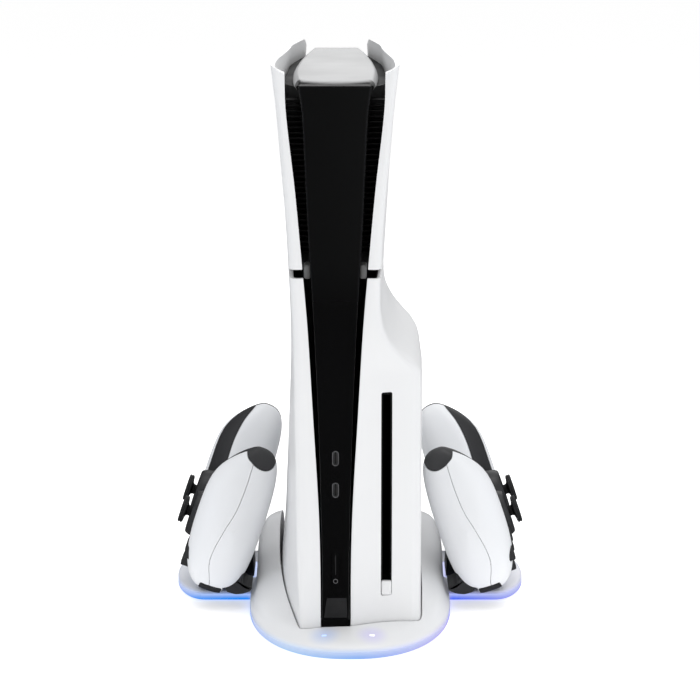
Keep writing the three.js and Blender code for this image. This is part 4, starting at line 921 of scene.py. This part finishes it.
def add_stand():
    shell = stand_body(0)
    wings = [wing_ring(SHELL_BOTTOM, 0), wing_ring(WING_TOP - 1.4, 0.15)]
    for a in span(0.2, math.pi / 2, 7):
        wings.append(wing_ring(WING_TOP - 1.4 * (1 - math.sin(a)), 0.15 + 2.6 * (1 - math.cos(a))))
    carve(shell, loft(wings), "UNION")
    floor_top = CONSOLE_FLOOR - 0.3
    carve(shell, cradle(1, floor_top, HUMP_TOP + 5))
    carve(shell, loft([oval_ring(SHELL_BOTTOM - 1, HALF_OVAL - 5, OVAL_FRONT + 6, OVAL_BACK - 6),
        oval_ring(floor_top - 2, HALF_OVAL - 7, OVAL_FRONT + 12, OVAL_BACK - 8)]))
    carve(shell, loft([wing_ring(SHELL_BOTTOM - 1, 2.4), wing_ring(WING_TOP - 1.6, 2.4)]))
    for i in range(9):
        y = CONSOLE_FRONT + CONSOLE_DEPTH / 2 + (i - 4) * 8
        vent = block((CONSOLE_X - 18, y - 2.2, floor_top - 3), (CONSOLE_X + 18, y + 2.2, floor_top + 1))
        bevel(vent, long_edges(vent, 2), 2.1, 6)
        carve(shell, vent)
    for name, x, _ in LAMPS:
        lamp = stand_body(-0.05)
        carve(lamp, lamp_column(x, -0.15), "INTERSECT")
        carve(lamp, stand_body(0.8))
        carve(shell, lamp_column(x, 0))
        finish_piece(lamp, f"{name}_window", name, "stand", slot="light_diffuser")
    finish_piece(shell, "shell", "stand_white", "stand", nodes=["stand_shell"])

    base = stand_slab(3.0, BASE_LOW.z, BASE_HIGH.z, 0.5)
    finish_piece(base, "base_plate", "cover_white", "stand", nodes=["stand_base"])
    strip = stand_slab(0, STRIP_LOW.z - 0.6, STRIP_HIGH.z, 0.7)
    carve(strip, stand_slab(2.7, STRIP_LOW.z - 1, STRIP_HIGH.z + 1))
    finish_piece(strip, "glow_rim", "light_diffuser", "stand", nodes=["light_strip"])

    low, high = corners("wing_foot_ring")
    foot = ((low.z, 4.3), (low.z + 0.35, 3.9), (high.z, 3.9))
    for outline, name, node in ((wing_ring, "wing_feet", "wing_foot_ring"),
            (inset_oval, "front_foot", "front_foot_pad")):
        ring = solid(loft([outline(z, inset) for z, inset in foot]))
        carve(ring, loft([outline(z, 10.9) for z in (-1, 2)]))
        if outline is inset_oval:
            carve(ring, block((-45, OVAL_FRONT, -1), (45, OVAL_FRONT + 30, 2)), "INTERSECT")
        finish_piece(ring, name, "rubber_black", "stand", nodes=[node])

def add_dock(side):
    """Post that cradles a controller, with its lit footing."""
    name = "left_dock" if side < 0 else "right_dock"
    outline = [(65.6, 0.2), (104, 0.2), (105, 3.2), (96, 4.6), (82, 20.5), (79, 22), (66.5, 15)]
    post = loft([[Vector((side * x, y, WING_TOP + z)) for x, z in outline] for y in (PAD_Y - 16, PAD_Y + 16)])
    post.normal_update()
    bevel(post, post.edges[:], 1.2, 4)
    made = solid(post)
    held = pad_hull(-0.4)
    held.data.transform(pad_matrix(side, 1))
    carve(made, held)
    finish_piece(made, name + "_post", "matte_black", "stand", nodes=[name])
    low, high = corners(name)
    soft, grow = 2, 1.6
    corner_places = ((high.x, high.y), (low.x, high.y), (low.x, low.y), (high.x, low.y))
    outline = []
    for k, (x, y) in enumerate(corner_places):
        cx, cy = x + (soft if x == low.x else -soft), y + (soft if y == low.y else -soft)
        for a in span(k * math.pi / 2, (k + 1) * math.pi / 2, 8):
            outline.append((cx + (soft + grow) * math.cos(a), cy + (soft + grow) * math.sin(a)))
    footing = solid(column(outline, WING_TOP + 0.02, WING_TOP + 0.5))
    carve(footing, block(Vector(low) - Vector((0.1, 0.1, 5)), Vector(high) + Vector((0.1, 0.1, 5))))
    finish_piece(footing, name + "_glow", "light_diffuser", "stand")

# ---------------------------------------------------------------- controllers
# Own frame: x to the player's right, y towards the triggers, z out of the face, origin between the sticks.
FORE_EDGE = [(0, 41.2), (30, 41.6), (50, 40.6), (60, 37.6), (68, 31), (74, 20), (78, 6), (79.6, -4), (80, -10)]
AFT_EDGE = [(0, -18), (20, -18.5), (30, -22.5), (36, -30), (42, -41.5), (48, -54.5), (54, -63.5), (59, -66.5),
    (64, -65), (69, -58), (73, -47.5), (77, -31), (79.3, -18), (80, -12)]
HALF_THICK = [(0, 15), (30, 17.2), (45, 20.8), (60, 22.5), (68, 20.8), (74, 16.5), (78, 10), (80, 4.5)]
MIDDLE_Z = [(0, -15), (30, -16.2), (45, -17.3), (60, -17.5), (80, -17)]
SEAM = [(-80, -19.6), (-57, -19.8), (-40, -20), (-24, -18.8), (-11, -15.8), (5, -13.2), (16, -13.4), (31, -18),
    (50, -20)]
TRIM_EDGE = [(-80, -22), (-66, -15.6), (-53, -9.6), (-38, -6.9), (-19, -7), (60, -7.4)]
TRIM_HALF = [(0, 12.6), (12, 13), (19, 14.8), (26.5, 15.8), (34, 13.6), (41, 7.5), (44.5, -3), (46.5, -16),
    (51.5, -30), (57, -44), (60.5, -54), (64, -66)]
TIP_CAP = [(-76, -36), (-60.5, -33.6), (-56.2, -32), (-54.4, -28), (-55, -23), (-57, -18.6), (-61, -14),
    (-76, -10)]
TOUCH_OUTLINE = [(-20, 17), (20, 17), (28, 35.5), (25, 37.8), (-25, 37.8), (-28, 35.5)]
PAD_LEAN = math.radians(19)
TIP_X = 59
PAD_STICK_X, PAD_STICK_Z = 113.9, 59
STICK_HALF = 26.5
COLLAR_TOP = 7.5
STICK_TOP = 14.4
STICK_RADIUS = 9.2
STICK_PIVOT = -5
STICK_HOLE = 10.2
CLUSTER = (53, 17)
CLUSTER_RADIUS = 9.6
BUTTON_RADIUS = 5.2
HOLE_PLAY = 0.4
HOME_Y = -2.5
SMALL_X, SMALL_Y = 36.5, 30
SEAM_GAP = 0.3

def pad_matrix(side, scale=MM):
    down = Vector((side * math.sin(PAD_LEAN), 0, -math.cos(PAD_LEAN)))
    out = Vector((side * math.cos(PAD_LEAN), 0, math.sin(PAD_LEAN)))
    across = down.cross(out)
    origin = (Vector((side * PAD_STICK_X, PAD_Y, PAD_STICK_Z)) - out * STICK_TOP) * scale
    return Matrix([[across[k], down[k], out[k], origin[k]] for k in range(3)] + [[0, 0, 0, 1]])

def squareness(x):
    return lerp(3.2, 2.5, min(1, abs(x) / 50))

REAR_SQUARENESS = 3.4

def face_share(y):
    return 1 - 0.0005 * min(0, y + 36) ** 2

def grip_drop(y):
    return -0.0025 * min(0, y + 25) ** 2

def pad_ring(x, inset, count):
    ax = abs(x)
    slope = (curve(AFT_EDGE, ax + 1) - curve(AFT_EDGE, ax - 1)) / 2
    fore = curve(FORE_EDGE, ax) - inset
    aft = curve(AFT_EDGE, ax) + inset * (math.hypot(1, slope) if ax < TIP_X else 1)
    thick = curve(HALF_THICK, ax) - inset
    placed = x * (80 - inset * smoothstep(ax, TIP_X, 80)) / 80
    ring = []
    for i in range(count):
        a = even_turn(i, count)
        c, d = math.cos(a), math.sin(a)
        power = REAR_SQUARENESS if c > 0 and d < 0 else squareness(ax)
        y = (fore + aft) / 2 + (fore - aft) / 2 * squared(c, power)
        rise = thick * squared(d, power)
        z = curve(MIDDLE_Z, ax) + (rise * face_share(y) if d > 0 else rise)
        ring.append(Vector((placed, y, z + grip_drop(y))))
    return ring

def pad_hull(inset, count=88):
    half = span(0, 54, 19) + span(56, 70, 9) + span(71, 77, 8) + [77.8, 78.5, 79, 79.4, 79.7, 79.9, 80]
    stations = [-x for x in half[:0:-1]] + half
    return solid(loft([pad_ring(x, inset, count) for x in stations]))

def face_z(x, y):
    ax = abs(x)
    fore, aft = curve(FORE_EDGE, ax), curve(AFT_EDGE, ax)
    n = squareness(ax)
    u = abs(y - (fore + aft) / 2) / ((fore - aft) / 2)
    rise = curve(HALF_THICK, ax) * max(0, 1 - u ** n) ** (1 / n)
    return curve(MIDDLE_Z, ax) + rise * face_share(y) + grip_drop(y)

def along_x(outline, x0, x1):
    return loft([[Vector((x, y, z)) for y, z in outline] for x in (x0, x1)])

def above_line(table, shift):
    line = [(y, curve(table, y) + shift) for y in span(-80, 60, 57)]
    return along_x(line + [(60, 60), (-80, 60)], -90, 90)

def grow_outline(outline, by):
    """Outline moved outwards (counter-clockwise outlines)."""
    moved = []
    for i, point in enumerate(outline):
        before, after = Vector(outline[i - 1]), Vector(outline[(i + 1) % len(outline)])
        along = (after - before).normalized()
        moved.append((point[0] + along.y * by, point[1] - along.x * by))
    return moved

def rounded(outline, radius, steps=6):
    """Polygon with its corners rounded."""
    soft = []
    for i, point in enumerate(outline):
        here = Vector(point)
        before, after = Vector(outline[i - 1]) - here, Vector(outline[(i + 1) % len(outline)]) - here
        cut = min(radius, before.length * 0.45, after.length * 0.45)
        start, end = here + before.normalized() * cut, here + after.normalized() * cut
        soft += [tuple(start.lerp(here, t).lerp(here.lerp(end, t), t)) for t in span(0, 1, steps)]
    return soft

def trim_column(grow):
    right = smooth_path(TRIM_HALF, 7)
    outline = [(38, -74)] + right[::-1] + [(-x, y) for x, y in right[1:]] + [(-38, -74), (-28, -42), (28, -42)]
    return column(grow_outline(outline, grow), -60, 60)

def tip_column(grow):
    outline = grow_outline(smooth_path(TIP_CAP, 7), grow)
    bm = along_x(outline, -90, grow - TIP_X)
    add_to(bm, along_x(outline, TIP_X - grow, 90))
    return bm

def touch_column(grow):
    return column(grow_outline(rounded(TOUCH_OUTLINE, 3.5), grow), -12, 20)

def cross_outline(grow):
    half, arm = 3.9 + grow, 11.6 + grow
    outline = []
    for k in range(4):
        turn = Matrix.Rotation(-k * math.pi / 2, 2)
        outline += [tuple(turn @ Vector(p)) for p in ((-half, half), (-half, arm), (half, arm))]
    return rounded(outline[::-1], 1.3)

BUMPER = (37, 66, 33, -27, -12.4)
TRIGGER_X = (39, 66)
TRIGGER_PROFILE = [(22, -29.5), (32, -29.5), (34, -31), (33.8, -37), (31.6, -42), (28, -46), (25, -46), (26, -42.5),
    (25.2, -39.5), (21.5, -37.5)]

def bumper_space(side, grow, edge):
    x0, x1, y0, z0, z1 = BUMPER
    a, b = (x0, x1) if side > 0 else (-x1, -x0)
    return block((a - grow, y0 - grow * 4, z0 - grow), (b + grow, 60, z1 + grow), edge, 4)

def trigger_space(side):
    a, b = sorted((side * (TRIGGER_X[0] - 0.5), side * (TRIGGER_X[1] + 0.5)))
    return along_x([(20, -27.5), (60, -27.5), (60, -70), (12, -70)], a, b)

def button_tops():
    spots = (("top", 0, 1), ("right", 1, 0), ("bottom", 0, -1), ("left", -1, 0))
    for name, dx, dy in spots:
        x, y = CLUSTER[0] + dx * CLUSTER_RADIUS, CLUSTER[1] + dy * CLUSTER_RADIUS
        yield name, x, y, face_z(x, y) + 1.5

def pad_shapes():
    """Every piece of a controller in its own frame: name, shape, material."""
    shapes = {}
    wall = pad_hull(0)
    carve(wall, pad_hull(2.2, 64))
    plate = solid(trim_column(0))
    carve(plate, above_line(TRIM_EDGE, 0), "INTERSECT")
    carve(plate, tip_column(0), "UNION")
    trim = copy_of(wall)
    carve(trim, plate, "INTERSECT")
    top = COLLAR_TOP
    collar = [(10.25, -4), (17.2, -4), (16.7, -1), (15.6, top - 3.2), (14.6, top - 1), (14.1, top - 0.3),
        (13.3, top), (12.0, top), (11.2, top - 0.3), (10.6, top - 0.9), (10.25, top - 1.8)]
    for side in (-1, 1):
        ring = solid(moved(turned(collar, 72, closed=True), side * STICK_HALF, 0))
        carve(ring, trim_column(0), "INTERSECT")
        carve(trim, moved(drum(0, 0, -14, 20, 10.4, sides=72), side * STICK_HALF, 0))
        carve(trim, ring, "UNION")
    carve(trim, drum(0, HOME_Y, -12, 20, 3.6 + HOLE_PLAY, sides=48))
    shapes["centre_trim"] = (trim, "pad_black")

    cuts = [touch_column(HOLE_PLAY), moved(column(cross_outline(HOLE_PLAY), -14, 20), -CLUSTER[0], CLUSTER[1])]
    for _, x, y, top in button_tops():
        cuts.append(drum(x, y, top - 14, 20, BUTTON_RADIUS + HOLE_PLAY, sides=48))
    for x in (-SMALL_X, SMALL_X):
        outline = pill_outline(x, SMALL_Y, 1.5 + HOLE_PLAY, 3.8 + HOLE_PLAY)
        cuts.append(column(outline, face_z(x, SMALL_Y) - 9, 20))
    port = block((-4.5, 36, -18.4), (4.5, 60, -13.3))
    bevel(port, long_edges(port, 1), 2.2, 6)
    openings = [port, *(bumper_space(side, SEAM_GAP, 1.8) for side in (-1, 1)), *map(trigger_space, (-1, 1))]
    front = copy_of(wall)
    carve(front, above_line(SEAM, SEAM_GAP / 2), "INTERSECT")
    carve(front, trim_column(SEAM_GAP))
    carve(front, tip_column(SEAM_GAP))
    back = copy_of(wall)
    carve(back, above_line(SEAM, -SEAM_GAP / 2))
    under = copy_of(wall)
    carve(under, trim_column(-SEAM_GAP), "INTERSECT")
    carve(under, above_line(TRIM_EDGE, -SEAM_GAP))
    carve(back, under, "UNION")
    carve(back, tip_column(SEAM_GAP))
    for cut in cuts:
        carve(front, cut)
    for cut in openings:
        carve(back, cut.copy())
        carve(front, cut)
    bpy.data.objects.remove(wall)
    shapes["front_shell"] = (front, "pad_white")
    shapes["back_shell"] = (back, "pad_white")

    touch = pad_hull(-0.6)
    carve(touch, pad_hull(1.6, 64))
    carve(touch, touch_column(0), "INTERSECT")
    shapes["touchpad"] = (touch, "pad_white")
    top = face_z(-CLUSTER[0], CLUSTER[1]) + 1.5
    cross = column(cross_outline(0), top - 7, top)
    ease_top(cross, top, 0.8, 4)
    dpad = solid(cross)
    dish = bmesh.new()
    bmesh.ops.create_uvsphere(dish, u_segments=64, v_segments=32, radius=26)
    carve(dpad, moved(dish, 0, 0, top + 25.1))
    dpad.data.transform(Matrix.Translation((-CLUSTER[0], CLUSTER[1], 0)))
    shapes["dpad"] = (dpad, "pad_black")
    for name, x, y, top in button_tops():
        r = BUTTON_RADIUS
        dome = [(0, top), (1.8, top - 0.03), (3.4, top - 0.14), (4.4, top - 0.35), (4.9, top - 0.65),
            (5.12, top - 1.1), (r, top - 1.8), (r, top - 6.6), (r - 0.4, top - 7), (0, top - 7)]
        shapes[name + "_button"] = (solid(moved(turned(dome, 64), x, y)), "pad_black")
    for name, x in (("create", -SMALL_X), ("options", SMALL_X)):
        top = face_z(x, SMALL_Y) + 1.1
        bar = column(pill_outline(x, SMALL_Y, 1.5, 3.8), top - 5, top)
        ease_top(bar, top, 0.5, 3)
        shapes[name + "_button"] = (solid(bar), "pad_black")
    top = face_z(0, HOME_Y) + 0.8
    home = [(0, top), (2.6, top), (3.2, top - 0.15), (3.5, top - 0.5), (3.6, top - 1), (3.6, top - 4.5),
        (0, top - 4.5)]
    shapes["home_button"] = (solid(moved(turned(home, 56), 0, HOME_Y)), "pad_black")
    for name, side in (("left", -1), ("right", 1)):
        bumper = pad_hull(-0.7)
        carve(bumper, pad_hull(2.6, 64))
        carve(bumper, bumper_space(side, 0, 1.6), "INTERSECT")
        shapes[name + "_bumper"] = (bumper, "pad_black")
        soft = grow_outline(rounded(TRIGGER_PROFILE[::-1], 1.6), 0)
        x0, x1 = TRIGGER_X
        ends = [(x0 + 1.5 * (1 - math.sin(a)), 1.5 * (1 - math.cos(a))) for a in span(math.pi / 2, 0, 6)]
        ends += [(x0 + x1 - x, inset) for x, inset in ends[::-1]]
        rings = [[Vector((side * x, y, z)) for y, z in grow_outline(soft, -inset)] for x, inset in ends]
        shapes[name + "_trigger"] = (solid(loft(rings)), "pad_black")
        r, t, p = STICK_RADIUS, STICK_TOP, STICK_PIVOT
        ball = [(5.6 * math.sin(a), p - 5 * math.cos(a)) for a in span(0, 2.35, 12)]
        ball[0] = (0, p - 5)
        stick = ball + [(3.4, p + 5), (3.4, t - 5.2), (3.9, t - 4.3), (5.2, t - 3.8), (r - 1.4, t - 3.5),
            (r - 0.5, t - 3.2), (r, t - 2.7), (r, t - 1.9), (r - 0.35, t - 1.7), (r - 0.35, t - 1.5), (r, t - 1.3),
            (r, t - 0.7),
            (r - 0.25, t - 0.25), (r - 0.8, t), (r - 1.5, t - 0.05), (r - 2.1, t - 0.45), (r - 2.6, t - 0.6),
            (4, t - 1.05), (2, t - 1.3), (0, t - 1.4)]
        shapes[name + "_stick"] = (solid(moved(turned(stick, 96), side * STICK_HALF, 0)), "stick_rubber")
        ring = []
        for i in range(20):
            a = 2 * math.pi * (i + 0.5) / 20
            ring.append((7.3 + 1.1 * squared(math.cos(a), 3), 1.2 * squared(math.sin(a), 3)))
        gimbal = turned(ring, 64, closed=True)
        shapes[name + "_stick_gimbal"] = (solid(moved(gimbal, side * STICK_HALF, 0, p)), "pad_black")
    return shapes

def add_pads():
    shapes = pad_shapes()
    for side, prefix in ((-1, "left_pad"), (1, "right_pad")):
        for name, (shape, material) in shapes.items():
            node = f"{prefix}_{name}"
            body = prefix if name in ("front_shell", "back_shell", "centre_trim") else node
            finish_piece(copy_of(shape), node + "_skin", material, body, nodes=[node], matrix=pad_matrix(side))
    for shape, _ in shapes.values():
        bpy.data.objects.remove(shape)

# ---------------------------------------------------------------- floor
def add_floor():
    """Pale ground that polished pieces mirror as dark."""
    bm = bmesh.new()
    bmesh.ops.create_grid(bm, x_segments=1, y_segments=1, size=6)
    floor = solid(bm, "floor")
    material = bpy.data.materials.new("floor")
    material.use_nodes = True
    tree, shader = opened(material)
    feed(tree, shader, {"Base Color": WHITE, "Roughness": 0.9, "Specular IOR Level": 0.1,
        "Emission Color": WHITE, "Emission Strength": 0.45})
    mirrored = add_node(tree, "LightPath", {}).outputs["Is Glossy Ray"]
    dark = add_node(tree, "Emission", {"Color": (0.03, 0.03, 0.03, 1)})
    pick = add_node(tree, "MixShader", {0: mirrored, 1: shader.outputs[0], 2: dark.outputs[0]})
    feed(tree, tree.nodes["Material Output"], {"Surface": pick.outputs[0]})
    floor.data.materials.append(material)

for add in (add_covers, add_chassis, add_face, add_cap, add_band, add_drive, add_fans, add_back, add_stand):
    add()
add_dock(-1)
add_dock(1)
add_pads()
add_floor()
